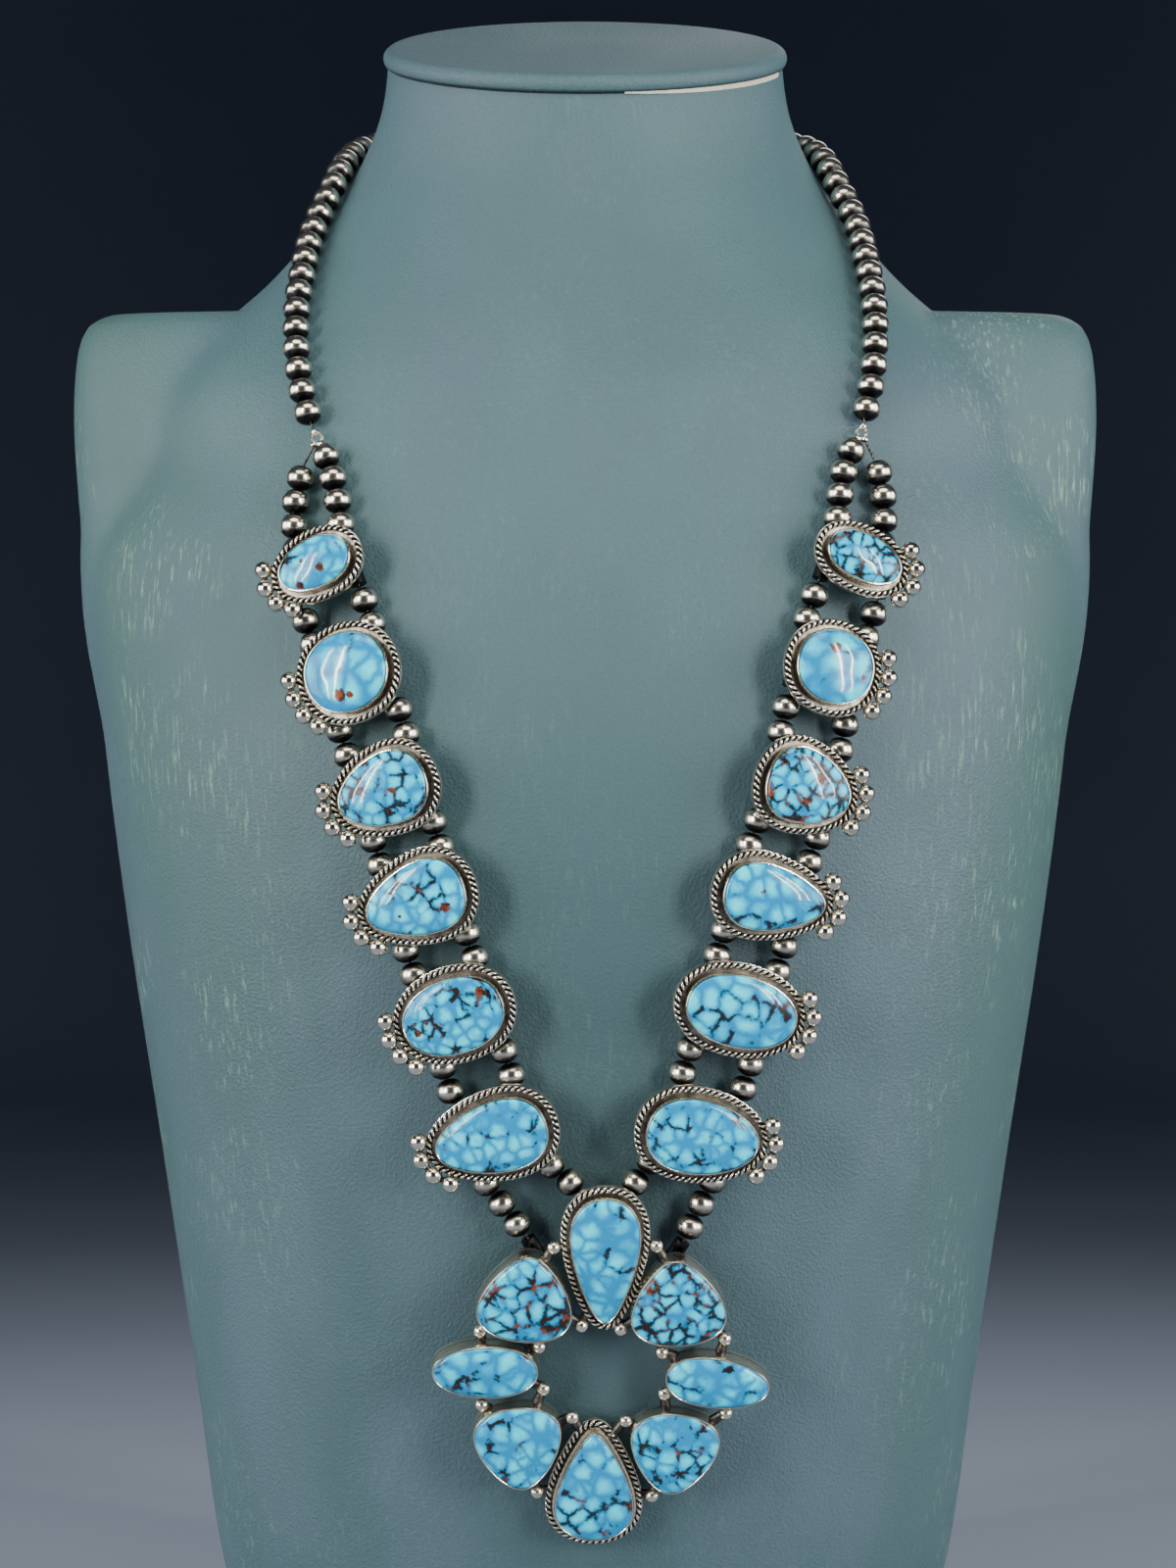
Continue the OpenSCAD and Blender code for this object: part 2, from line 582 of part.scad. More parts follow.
module naja_joint(j) {
    spot = [j[0] * naja_w, j[1] * naja_h, plate_t / 2];
    translate([spot[0], spot[1], naja_ball_r + ball_room]) sphere(r = naja_ball_r, $fn = rod_sides);
    for (k = [2, 3]) {
        c = naja_rows[j[k]];
        cup = [c[CUP_X] * naja_w, c[CUP_Y] * naja_h, plate_t / 2];
        rod(spot + wire_start * naja_wire_r * unit(cup - spot), mix(cup, spot, wire_end), naja_wire_r);
    }
}
module naja_stone(i) {
    c = naja_rows[i];
    color("deepskyblue") place(naja_frame) in_cup(c)
        stone(c[CUP_LONG] * naja_w, c[CUP_BROAD] * naja_w, c[CUP_TAPER], c[CUP_WALL] * bezel_h);
}

// Beads: a drilled round bead between two points of the thread
module bead(a, b) {
    place(rod_frame((a + b) / 2, b)) rotate_extrude($fn = bead_sides) intersection() {
        translate([bead_r - bead_len / 2, 0]) circle(r = bead_len / 2, $fn = bead_sides);
        translate([bead_hole_r, -bead_len]) square([bead_r, 2 * bead_len]);
    }
}
module beads_on(ends) {
    if (len(ends) > 1) for (i = [1:len(ends) - 1]) bead(ends[i - 1], ends[i]);
}
module neck_beads(side) {
    color("gray") beads_on(neck_ends(side));
}
module string_beads(side, line) {
    color("gray") for (e = string_ends[side][line]) beads_on(e);
}
// The threads run through the beads and end in the sleeves and tubes
module string_thread(side, line) {
    into = sleeve_dir(side, FAN + line);
    start = fork(side) + (sleeve_reach - thread_tuck) * into;
    body = [for (i = [0:STATIONS], p = concat(string_ends[side][line][i],
        i == STATIONS ? [] : [tube_top(side, i, line), tube_foot(side, i, line)])) p];
    color("dimgray") wire(concat([start, fork(side) + sleeve_reach * into], body, [mouth(side, line, 0), mouth(side, line, naja_tube_len * 0.8)]),
                          thread_r, thread_sides);
}
module neck_thread(side) {
    into = sleeve_dir(side, UPPER);
    start = fork(side) + (sleeve_reach - thread_tuck) * into;
    color("dimgray") wire(concat([start, fork(side) + sleeve_reach * into], neck_ends(side),
        [clasp_end(side), mix(clasp_end(side), clasp_end(1 - side), thread_tuck / clasp_len)]),
        thread_r, thread_sides);
}

// The ring where one string becomes two, with a sleeve for each thread end
module fork_ring(side) {
    z = bust_normal(route[UPPER][side][0][0], route[UPPER][side][0][1]);
    x = unit(cross([0, 0, 1], z));
    dirs = [for (part = [UPPER, FAN + INNER, FAN + OUTER]) sleeve_dir(side, part)];
    color("silver") difference() {
        union() {
            place([x, cross(z, x), z, fork(side)]) rotate_extrude($fn = rod_sides)
                translate([fork_ring_r, 0]) circle(r = fork_wire_r, $fn = rod_sides);
            for (d = dirs) rod(fork(side) + fork_ring_r * d, fork(side) + sleeve_reach * d,
                               sleeve_bore_r + sleeve_wall);
        }
        for (d = dirs) rod(fork(side) + (sleeve_reach - thread_tuck - 0.2) * d,
                           fork(side) + (sleeve_reach + 1) * d, sleeve_bore_r);
    }
}

// The clasp is a plain barrel behind the neck, bored at both ends
function clasp_end(side) =
    let (p = paths[UPPER][side], run = run_of(p)) point_at(p, run, last_of(run) - clasp_len / 2);
module clasp() {
    a = clasp_end(LEFT);
    b = clasp_end(RIGHT);
    bore = (thread_tuck + 0.3) / norm(b - a);
    color("silver") difference() {
        rod(a, b, clasp_r);
        rod(mix(a, b, -0.1), mix(a, b, bore), sleeve_bore_r);
        rod(mix(b, a, -0.1), mix(b, a, bore), sleeve_bore_r);
    }
}

// The bust: one soft form for chest, shoulders and neck, and its cap
function side_angle(i) =
    let (t = 360 * i / bust_sides) t + side_crowding * sin(2 * t);
function bust_point(a, z, inset) =
    let (c = section(z), r = soft_max(section_r(c, a), shoulder_r(a, z), crease_blend) - inset)
    [r * sin(a), c[1] - r * cos(a), z];
function bust_ring(z, inset = 0) = [for (i = [0:bust_sides - 1]) bust_point(side_angle(i), z, inset)];
function tilted(p) = [p[0], p[1], bust_h + (p[1] - section(bust_h)[1]) * tan(neck_tilt)];
module neck_bust() {
    low = [for (s = low_rings) if (s * bust_h < shoulder_h - 3) s * bust_h];
    high = [for (s = high_rings) if (s * bust_h > shoulder_h + 3) s * bust_h];
    color("cadetblue") skin(concat(
        [for (z = low) bust_ring(z, z == 0 ? base_edge : 0)],
        [bust_ring(shoulder_z[6]), bust_ring(shoulder_h), bust_ring(shoulder_h + shoulder_edge)],
        [for (z = high) bust_ring(z)],
        [[for (p = bust_ring(bust_h)) tilted(p)]]));
}
// Rings of the cap in the tilted plane: [height as a share of cap_t, outset as
// a share of cap_overhang]
cap_rows = [[0, -0.4], [0.2, 0.6], [0.5, 1], [0.8, 0.6], [1, -0.4]];
function cap_ring(z, outset) =
    let (c = section(bust_h), depth = (c[2] + c[3]) / 2 / cos(neck_tilt))
    [for (i = [0:cap_sides - 1]) let (t = 360 * i / cap_sides)
        [(c[0] + outset) * cos(t), (depth + outset) * sin(t), z]];
module bust_cap() {
    c = section(bust_h);
    middle = c[1] + (c[3] - c[2]) / 2;
    color("cadetblue") translate(tilted([0, middle])) rotate([neck_tilt, 0, 0]) translate([0, 0, cap_gap])
        skin(concat([for (r = cap_rows) cap_ring(r[0] * cap_t, r[1] * cap_overhang)],
                    [cap_ring(cap_t + cap_dome, -neck_w * 0.15)]));
}

SIDE_NAMES = ["left", "right"];
LINE_NAMES = ["inner", "outer"];
NODES = concat(
    ["neck_bust", "bust_cap", "clasp", "naja"],
    [for (i = [1:len(naja_rows)]) str("naja_stone_", i)],
    [for (s = SIDE_NAMES, i = [1:STATIONS]) str(s, "_setting_", i)],
    [for (s = SIDE_NAMES, i = [1:STATIONS]) str(s, "_stone_", i)],
    [for (s = SIDE_NAMES, n = ["fork_ring", "neck_beads", "neck_thread"]) str(s, "_", n)],
    [for (s = SIDE_NAMES, l = LINE_NAMES, n = ["beads", "thread"]) str(s, "_", l, "_", n)]);
node = "all";
function shown(name) = node == "all" || node == name;

if (shown("neck_bust")) neck_bust();
if (shown("bust_cap")) bust_cap();
if (shown("clasp")) clasp();
if (shown("naja")) naja();
for (i = [0:len(naja_rows) - 1]) if (shown(str("naja_stone_", i + 1))) naja_stone(i);
for (side = [LEFT, RIGHT]) {
    for (i = [0:STATIONS - 1]) {
        if (shown(str(SIDE_NAMES[side], "_setting_", i + 1))) setting(side, i);
        if (shown(str(SIDE_NAMES[side], "_stone_", i + 1))) station_stone(side, i);
    }
    if (shown(str(SIDE_NAMES[side], "_fork_ring"))) fork_ring(side);
    if (shown(str(SIDE_NAMES[side], "_neck_beads"))) neck_beads(side);
    if (shown(str(SIDE_NAMES[side], "_neck_thread"))) neck_thread(side);
    for (line = [INNER, OUTER]) {
        if (shown(str(SIDE_NAMES[side], "_", LINE_NAMES[line], "_beads"))) string_beads(side, line);
        if (shown(str(SIDE_NAMES[side], "_", LINE_NAMES[line], "_thread"))) string_thread(side, line);
    }
}
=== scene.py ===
"""A squash blossom necklace on a plain neck bust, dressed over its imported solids."""

import bpy
import numpy as np
from mathutils import Matrix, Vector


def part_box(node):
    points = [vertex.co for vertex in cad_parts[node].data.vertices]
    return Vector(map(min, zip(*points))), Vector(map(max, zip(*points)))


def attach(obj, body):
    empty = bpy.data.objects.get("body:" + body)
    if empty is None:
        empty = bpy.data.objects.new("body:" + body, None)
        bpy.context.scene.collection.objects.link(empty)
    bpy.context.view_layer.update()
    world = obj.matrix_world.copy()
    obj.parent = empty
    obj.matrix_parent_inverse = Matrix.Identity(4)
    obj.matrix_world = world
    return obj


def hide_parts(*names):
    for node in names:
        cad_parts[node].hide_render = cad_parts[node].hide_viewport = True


bl_info = {
    "name": "Squash blossom necklace",
    "version": (1, 0, 0),
    "blender": (4, 5, 0),
    "location": "3D View > Sidebar > Necklace",
    "description": "Silver beads, turquoise stations and a naja pendant on a neck bust",
    "category": "Add Mesh",
}

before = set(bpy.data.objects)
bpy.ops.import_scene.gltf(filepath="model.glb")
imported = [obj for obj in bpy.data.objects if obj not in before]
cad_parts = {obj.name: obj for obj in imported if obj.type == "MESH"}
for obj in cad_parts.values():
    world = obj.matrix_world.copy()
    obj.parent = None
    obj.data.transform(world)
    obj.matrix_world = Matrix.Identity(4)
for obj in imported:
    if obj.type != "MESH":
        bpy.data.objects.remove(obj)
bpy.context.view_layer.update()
MM = 0.001
SIDES = ("left", "right")
STATIONS = range(1, 7)
NAJA_STONES = range(1, 9)
ROPED_CUPS = (1, 5)
COLLARED_CUP = 5
STRINGS = [f"{side}_{part}" for side in SIDES for part in ("neck", "inner", "outer")]
# A way that no rod or ball points in, for cross products
SKEW = (0.3, 0.5, 0.8)
# How many points the outlines and rings have, and one turn of a rope's strand
OUTLINE_POINTS = 168
BUST_COLUMNS = 220
CAP_COLUMNS = 160
BEAD_ROWS = 17
BEAD_COLUMNS = 30
STONE_COLUMNS = 120
ROPE_STEPS = 15
# The part of the cap's outline where its lining shows
LINING_COLUMNS = slice(7, 36)


# Small helpers on arrays

def unit(v):
    """Vectors scaled to length one."""
    return v / np.linalg.norm(v, axis=-1, keepdims=True)


def turns(count, start=0.0):
    """Angles spread evenly over a whole turn."""
    return start + np.arange(count) * 2 * np.pi / count


def ease(low, high, x):
    """A smooth step: 0 below low, 1 above high, 3t^2 - 2t^3 between them."""
    t = np.clip((x - low) / (high - low), 0, 1)
    return t * t * (3 - 2 * t)


def spin(angle, first, second):
    """Spokes in the plane of two ways: cos a * first + sin a * second."""
    return np.cos(angle) * first + np.sin(angle) * second


def ahead_of(loop):
    """The way on at each point of a closed loop, from the point before it to the one after."""
    return np.roll(loop, -1, 0) - np.roll(loop, 1, 0)


def run_along(line):
    """The length along a line at each of its points."""
    return np.concatenate([[0], np.cumsum(np.linalg.norm(np.diff(line, axis=0), axis=1))])


def at_run(line, run, at):
    """The points of a line at some lengths along it."""
    return np.stack([np.interp(at, run, line[:, k]) for k in range(line.shape[1])], -1)


def spread_of(points):
    """How far points spread along their own three axes, least first, and the axes as columns."""
    return np.linalg.eigh(np.cov((points - points.mean(0)).T))


def ripple(points, size, seed):
    """A soft uneven value from -1 to 1: four plane waves of about one size, added up."""
    draw = np.random.default_rng(seed)
    ways = unit(draw.normal(size=(4, 3))) * 2 * np.pi / (size * draw.uniform(0.7, 1.4, (4, 1)))
    return np.sin(points @ ways.T + draw.uniform(0, 6.28, 4)).sum(-1) / 4


# Shapes: points with faces, and for each point how dark it is, from oxide and from painted shade

class Shape:
    """Points, a list of face arrays and how dark the metal is at each point."""

    def __init__(self, points, faces, tarnish=0.0):
        self.points = np.asarray(points, float).reshape(-1, 3)
        self.faces = faces
        self.tarnish = np.zeros(len(self.points)) + np.ravel(tarnish)


def joined(shapes):
    """One shape of several, whose faces are counted on from the points before them."""
    starts = np.cumsum([0] + [len(s.points) for s in shapes[:-1]])
    faces = [face + start for s, start in zip(shapes, starts) for face in s.faces]
    return Shape(np.concatenate([s.points for s in shapes]), faces,
                 np.concatenate([s.tarnish for s in shapes]))


def outward(shape):
    """Turns the faces out: their volume, added up as tetrahedra from the middle, is above nought."""
    spokes = shape.points - shape.points.mean(0)
    volume = 0
    for face in shape.faces:
        for k in range(1, face.shape[1] - 1):
            fan = np.cross(spokes[face[:, k]], spokes[face[:, k + 1]])
            volume += np.einsum("ij,ij", spokes[face[:, 0]], fan)
    if volume < 0:
        shape.faces = [face[:, ::-1] for face in shape.faces]
    return shape


def skin(rings, tarnish=0.0, closed=False):
    """The surface through rings of as many points each: quads from ring to ring, and a flat
    cap on the first and the last one, or quads back to the first one where it is closed."""
    rings = np.asarray(rings)
    rows, columns = rings.shape[:2]
    row, column = np.meshgrid(np.arange(rows if closed else rows - 1), np.arange(columns), indexing="ij")
    above = (row + 1) % rows * columns
    beside = (column + 1) % columns
    here = row * columns
    faces = [np.stack([here + column, here + beside, above + beside, above + column], -1).reshape(-1, 4)]
    if not closed:
        faces.append(np.arange(columns)[None, ::-1])
        faces.append(np.arange(columns)[None] + (rows - 1) * columns)
    return outward(Shape(rings, faces, np.broadcast_to(tarnish, rings.shape[:2])))


def wire_rings(path, radius, sides, out, closed=False):
    """Rings square to a path: path + radius * (cos a * out + sin a * across)."""
    ahead = unit(ahead_of(path) if closed else np.gradient(path, axis=0))
    across = unit(np.cross(ahead, out))
    out = np.cross(across, ahead)
    radius = np.reshape(radius, (-1, 1, 1))
    return path[:, None] + radius * spin(turns(sides)[None, :, None], out[:, None], across[:, None])


def lathe(profile, place, axis, sides):
    """Rings of a profile of [radius, height] rows that is turned round an axis through a place."""
    side = unit(np.cross(axis, SKEW))
    spoke = spin(turns(sides)[None, :, None], side, np.cross(axis, side))
    return place + profile[:, 0, None, None] * spoke + profile[:, 1, None, None] * axis


def ball(place, radius, up):
    """A round ball: rings of radius r cos a at height r sin a, painted darker on its lower side, towards the
    plate: painted shade under the ball.
    """
    angle = np.radians(np.linspace(-86, 86, 16))
    rings = lathe(radius * np.stack([np.cos(angle), np.sin(angle)], -1), place, up, 22)
    return skin(rings, 0.8 * ease(0.25, -0.5, np.sin(angle))[:, None])


def rod(start, end, radii, tarnish):
    """A round rod from start to end, whose radius runs through the given values."""
    path = start + np.linspace(0, 1, len(radii))[:, None] * (end - start)
    out = np.broadcast_to(unit(np.cross(end - start, SKEW)), path.shape)
    return skin(wire_rings(path, radii, 14, out), tarnish)


def strands(path, phase, out, across, off, radius, sides, tarnish, closed=False):
    """Two strands that wind round a path, half a turn apart: off * (cos a * out + sin a * across)."""
    shapes = []
    for turn in (0, np.pi):
        way = spin(phase + turn, out, across)
        shapes.append(skin(wire_rings(path + off * way, radius, sides, way, closed), tarnish, closed))
    return joined(shapes)


# Closed loops in a plate's plane

def smooth_loop(loop, count):
    """A closed curve through a loop's points: their Fourier series, read at more places."""
    wave = np.fft.fft(loop[:, 0] + 1j * loop[:, 1])
    half = len(wave) // 2
    full = np.zeros(count, complex)
    full[:half] = wave[:half]
    full[1 - half:] = wave[1 - half:]
    full[half] = full[-half] = wave[half] / 2
    curve = np.fft.ifft(full) * count / len(wave)
    return np.stack([curve.real, curve.imag], -1)


def outwards(loop):
    """The way out of a counterclockwise loop at each of its points, square to it."""
    ahead = unit(ahead_of(loop))
    return np.stack([ahead[:, 1], -ahead[:, 0]], -1)


def grown(loop, by):
    """A counterclockwise loop moved outwards."""
    return loop + by * outwards(loop)


def even_steps(path, count, closed=True):
    """Points at equal lengths along a path, and the path's whole length."""
    line = np.vstack([path, path[:1]]) if closed else path
    run = run_along(line)
    return at_run(line, run, np.linspace(0, run[-1], count, endpoint=not closed)), run[-1]


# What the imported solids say

def solid_of(node):
    """A node's points and its triangles' corners."""
    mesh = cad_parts[node].data
    points = np.empty(len(mesh.vertices) * 3)
    mesh.vertices.foreach_get("co", points)
    corners = np.empty(len(mesh.polygons) * 3, int)
    mesh.polygons.foreach_get("vertices", corners)
    return points.reshape(-1, 3), corners.reshape(-1, 3)


def merged(points, triangles):
    """The same triangles on points of which each place has only one."""
    places, which = np.unique(np.round(points, 7), axis=0, return_inverse=True)
    return places, which.ravel()[triangles]


def loose_solids(node):
    """The separate solids of a node, as arrays of points: labels spread over the triangles
    until each solid has only its lowest one."""
    places, triangles = merged(*solid_of(node))
    label = np.arange(len(places))
    while True:
        lowest = label[triangles].min(1)
        spread = label.copy()
        np.minimum.at(spread, triangles, lowest[:, None])
        spread = spread[spread]
        if (spread == label).all():
            return [places[label == kind] for kind in np.unique(label)]
        label = spread


class Seat:
    """A stone's place: an origin on its plate's back, x along the stone, z off the plate,
    the stone's outline as a loop, and the height of its bezel's rim over the plate's back."""

    def __init__(self, origin, axes, loop, rim):
        self.origin = origin
        self.axes = axes
        self.loop = loop
        self.rim = rim

    def out(self, flat, height):
        """Points of the seat's plane, lifted to a height, in the model's frame."""
        lifted = np.concatenate([flat, np.zeros_like(flat[..., :1]) + height], -1)
        return self.origin + lifted @ self.axes


def mirror_axis(loop):
    """Turns a symmetric loop so that its axis lies along x: of the lines through two opposite
    points that mirror the loop on itself, the longest is taken. Gives the axis, its middle and
    the turned loop."""
    half = len(loop) // 2
    found = []
    for k in range(half):
        turned = np.roll(loop, -k, 0)
        long = turned[0] - turned[half]
        way = unit(long)
        centre = (turned[0] + turned[half]) / 2
        local = (turned - centre) @ np.array([[way[0], -way[1]], [way[1], way[0]]])
        miss = np.abs(local[1:half] * [1, -1] - local[:half:-1]).max()
        found.append((miss < 0.03 * MM, np.linalg.norm(long), way, centre, local))
    return max(found, key=lambda f: f[:2])[2:]


def seat_of(node, floor_height, towards=(1, 0, 0)):
    """Finds a stone's seat from its solid: its largest flat face is the floor, and the points
    in it are the outline. The seat's x points towards the given side."""
    points, triangles = solid_of(node)
    corner = points[triangles]
    across = np.cross(corner[:, 1] - corner[:, 0], corner[:, 2] - corner[:, 0])
    _, which = np.unique(np.round(unit(across), 2), axis=0, return_inverse=True)
    area = np.bincount(which.ravel(), np.linalg.norm(across, axis=1))
    z = -unit(across[which.ravel() == area.argmax()].sum(0))
    places, _ = merged(points, triangles)
    height = places @ z - (places @ z).min()
    ring = places[height < 0.05 * MM]
    rim = height[height > 0.5 * MM].min()
    middle = ring.mean(0)
    first = unit(np.cross([0, 0, 1], z))
    second = np.cross(z, first)
    flat = np.stack([(ring - middle) @ first, (ring - middle) @ second], -1)
    flat = flat[np.argsort(np.arctan2(flat[:, 1], flat[:, 0]))]
    way, centre, loop = mirror_axis(flat)
    x = way[0] * first + way[1] * second
    if x @ np.array(towards) < 0:
        x = -x
        loop = np.roll(-loop, len(loop) // 2, 0)
    origin = middle + centre[0] * first + centre[1] * second - floor_height * z
    return Seat(origin, np.stack([x, np.cross(z, x), z]), loop, rim + floor_height)


# Sizes that a user would change

def length(name, description, default_mm):
    """A length property, given in millimetres and kept in metres."""
    return bpy.props.FloatProperty(name=name, description=description, default=default_mm * MM,
                                   unit="LENGTH", precision=5)


def share(name, description, default):
    """A plain factor property from 0 to 1."""
    return bpy.props.FloatProperty(name=name, description=description, default=default,
                                   min=0, max=1, subtype="FACTOR")


def colour(name, description, default):
    """A colour property."""
    return bpy.props.FloatVectorProperty(name=name, description=description, default=default,
                                         size=3, min=0, max=1, subtype="COLOR")


class BustSizes(bpy.types.PropertyGroup):
    """The neck bust's sizes and colours."""
    height: length("Height", "Height to the middle of the cap's seam", 421)
    chest_width: length("Chest width", "Widest part of the chest", 261)
    chest_depth: length("Chest depth", "How far the chest stands out in front of the middle line", 78)
    back_depth: length("Back depth", "How far the back stands out behind the middle line", 39)
    neck_width: length("Neck width", "Width of the neck under the cap", 104.6)
    neck_depth: length("Neck depth", "Depth of the neck under the cap", 73)
    shoulder_width: length("Shoulder width", "Width over the shoulders", 269.6)
    shoulder_depth: length("Shoulder depth", "Depth of the shoulders, front to back", 58)
    shoulder_height: length("Shoulder height", "Height of the flat shoulder tops", 351.6)
    shoulder_round: length("Shoulder rounding", "Rounding of the shoulders' upper edge", 3.2)
    crease: length("Crease", "Width over which the shoulders melt into the chest", 7)
    neck_tilt: bpy.props.FloatProperty(name="Neck tilt", description="Forward slope of the cap",
                                       default=np.radians(17.5), subtype="ANGLE")
    cap_thickness: length("Cap thickness", "Thickness of the cap's rounded rim", 5.6)
    cap_drop: length("Cap drop", "How far the cap's rim reaches down over the neck", 2.4)
    cap_overhang: length("Cap overhang", "How far the cap's rim stands out past the neck", 1.2)
    leather: colour("Leatherette", "Main colour of the leatherette", (0.057, 0.114, 0.130))
    rubbed: colour("Rubbed streaks", "Colour of the pale rubbed streaks", (0.22, 0.36, 0.27))
    lining: colour("Lining", "Colour of the strip of lining in the cap's seam", (0.62, 0.58, 0.46))


class BeadSizes(bpy.types.PropertyGroup):
    """The beads' and the chain's sizes."""
    radius: length("Bead radius", "Radius of a bead across its hole", 3.6)
    length: length("Bead length", "Length of a bead along its hole", 6.2)
    hole: length("Hole radius", "Radius of the hole through a bead", 0.8)
    chain: length("Chain radius", "Radius of the thin chain in the beads", 0.4)
    ring: length("Fork ring", "Middle radius of the fork ring", 1.35)
    # Scales the oxide at the beads' ends and the painted shade on their lower sides
    patina_and_shade: share("Patina", "How dark the beads' ends are", 0.9)


class SettingSizes(bpy.types.PropertyGroup):
    """The sizes of the silver round the stones."""
    plate: length("Plate", "Thickness of a setting's back plate", 1.1)
    floor: length("Stone floor", "Height of a stone's underside over its plate's back", 1.2)
    wall: length("Bezel wall", "Thickness of a bezel's wall", 0.45)
    stone_gap: length("Stone gap", "Room between a stone and its bezel", 0.12)
    rope: length("Rope radius", "Radius of the twisted rope", 0.86)
    rope_solid: length("Rope seat", "Radius of the rope that the balls lean on", 0.8)
    rope_out: length("Rope distance", "From a station stone's edge to the middle of its rope", 2.3)
    naja_rope_out: length("Pendant rope distance", "From a pendant stone's edge to its rope", 2.0)
    rope_pitch: length("Rope pitch", "Length of one strand's lump along the rope", 1.62)
    lip: length("Plate lip", "How far a plate reaches past the rope's middle", 0.9)
    ball: length("Station balls", "Radius of a station's balls", 2.3)
    ball_pitch: length("Ball step", "From one of a station's balls to the next", 4.9)
    naja_ball: length("Pendant balls", "Radius of the pendant's balls", 1.8)
    ball_sink: length("Ball sink", "How far a ball is sunk into the rope", 0.5)
    ball_room: length("Ball room", "Room under a ball", 0.1)
    naja_width: length("Pendant width", "Width that places the pendant's balls", 86)
    naja_height: length("Pendant height", "Height that places the pendant's balls", 98)
    dome: length("Dome", "Height of a stone's dome over its bezel", 1.9)
    silver: colour("Silver", "Colour of the polished silver", (0.80, 0.74, 0.61))
    # The oxide's colour, which also paints the painted shade on the silver
    tarnish: colour("Tarnish", "Colour of the oxidised silver", (0.022, 0.020, 0.024))


class StoneLooks(bpy.types.PropertyGroup):
    """The turquoise's colours."""
    deep: colour("Deep blue", "Turquoise between the pale clouds", (0.0, 0.250, 0.540))
    pale: colour("Pale blue", "Turquoise in the middle of the clouds", (0.0, 0.680, 0.900))
    bright: colour("Palest blue", "Turquoise where it is chalky", (0.020, 0.940, 1.000))
    web: colour("Web", "Colour of the fine web", (0.001, 0.050, 0.075))
    host: colour("Host rock", "Colour of the dark host rock in the web", (0.016, 0.009, 0.007))
    rust: colour("Rust", "Colour of the red-brown patches", (0.170, 0.040, 0.016))


class StageSizes(bpy.types.PropertyGroup):
    """Where the camera and the floor are."""
    distance: length("Camera distance", "From the bust's middle line to the camera", 1509)
    eye: length("Camera height", "Height of the level camera", 228)
    aside: length("Camera aside", "How far the camera stands to the right", 0.75)
    focal_px: bpy.props.FloatProperty(name="Focal length", default=5800,
                                      description="Focal length in pixels, for a picture 1600 high")
    floor_radius: length("Floor radius", "Radius of the level floor", 2600)


# Materials

class Tree:
    """A material's node tree, with a short call that adds a node and links its inputs."""

    def __init__(self, name):
        self.material = bpy.data.materials.new(name)
        self.material.use_nodes = True
        self.tree = self.material.node_tree
        self.shader = self.tree.nodes["Principled BSDF"]
        self.place = self.add("TexCoord").outputs["Object"]

    def add(self, kind, inputs=None, **settings):
        """Adds a node. An input is a value, or another node's output."""
        node = self.tree.nodes.new("ShaderNode" + kind)
        for name, value in settings.items():
            setattr(node, name, value)
        for key, value in (inputs or {}).items():
            self.put(node.inputs[key], value)
        return node

    def put(self, socket, value):
        """Links a socket to an output, or sets its value."""
        if isinstance(value, bpy.types.NodeSocket):
            self.tree.links.new(value, socket)
        elif hasattr(socket.default_value, "__len__") and len(value) == 3 and len(socket.default_value) == 4:
            socket.default_value = (*value, 1)
        else:
            socket.default_value = value

    def set(self, **sockets):
        """Sets the shader's own sockets, named with an underscore for a space."""
        for name, value in sockets.items():
            self.put(self.shader.inputs[name.replace("_", " ")], value)

    def noise(self, scale, detail=2.0, roughness=0.5, place=None, shift=0.0):
        """Soft noise from 0 to 1."""
        at = place or self.place
        if shift:
            at = self.vector("ADD", at, (shift, shift * 0.7, -shift))
        node = self.add("TexNoise", {"Vector": at, "Scale": scale, "Detail": detail, "Roughness": roughness})
        return node.outputs["Fac"]

    def stretched(self, scale):
        """Object coordinates with a scale of their own along each axis."""
        return self.add("Mapping", {"Vector": self.place, "Scale": scale}).outputs[0]

    def ramp(self, value, low, high, start=0.0, end=1.0):
        """A smooth step of a value from start at low to end at high."""
        node = self.add("MapRange", {"Value": value, "From Min": low, "From Max": high,
                                     "To Min": start, "To Max": end}, interpolation_type="SMOOTHSTEP")
        return node.outputs["Result"]

    def cells(self, place, scale, feature):
        """A distance in a pattern of cells: from a cell's middle, or to its edge."""
        return self.add("TexVoronoi", {"Vector": place, "Scale": scale}, feature=feature).outputs["Distance"]

    def tarnish(self):
        """The mesh's attribute of how dark it is: oxide, and painted shade."""
        return self.add("Attribute", attribute_name="tarnish", attribute_type="GEOMETRY").outputs["Fac"]

    def math(self, operation, a, b=0.0):
        """One operation on two values."""
        return self.add("Math", {0: a, 1: b}, operation=operation).outputs[0]

    def plus(self, a, b):
        """The sum of two values."""
        return self.math("ADD", a, b)

    def times(self, a, b):
        """The product of two values."""
        return self.math("MULTIPLY", a, b)

    def vector(self, operation, a, b):
        """One operation on two vectors."""
        return self.add("VectorMath", {0: a, 1: b}, operation=operation).outputs[0]

    def mix(self, factor, a, b):
        """Two colours mixed by a factor."""
        node = self.add("Mix", {"Factor": factor}, data_type="RGBA")
        self.put(node.inputs[6], a)
        self.put(node.inputs[7], b)
        return node.outputs[2]

    def bump(self, height, depth, strength):
        """A bump of the given depth in metres."""
        return self.add("Bump", {"Height": height, "Distance": depth, "Strength": strength}).outputs[0]


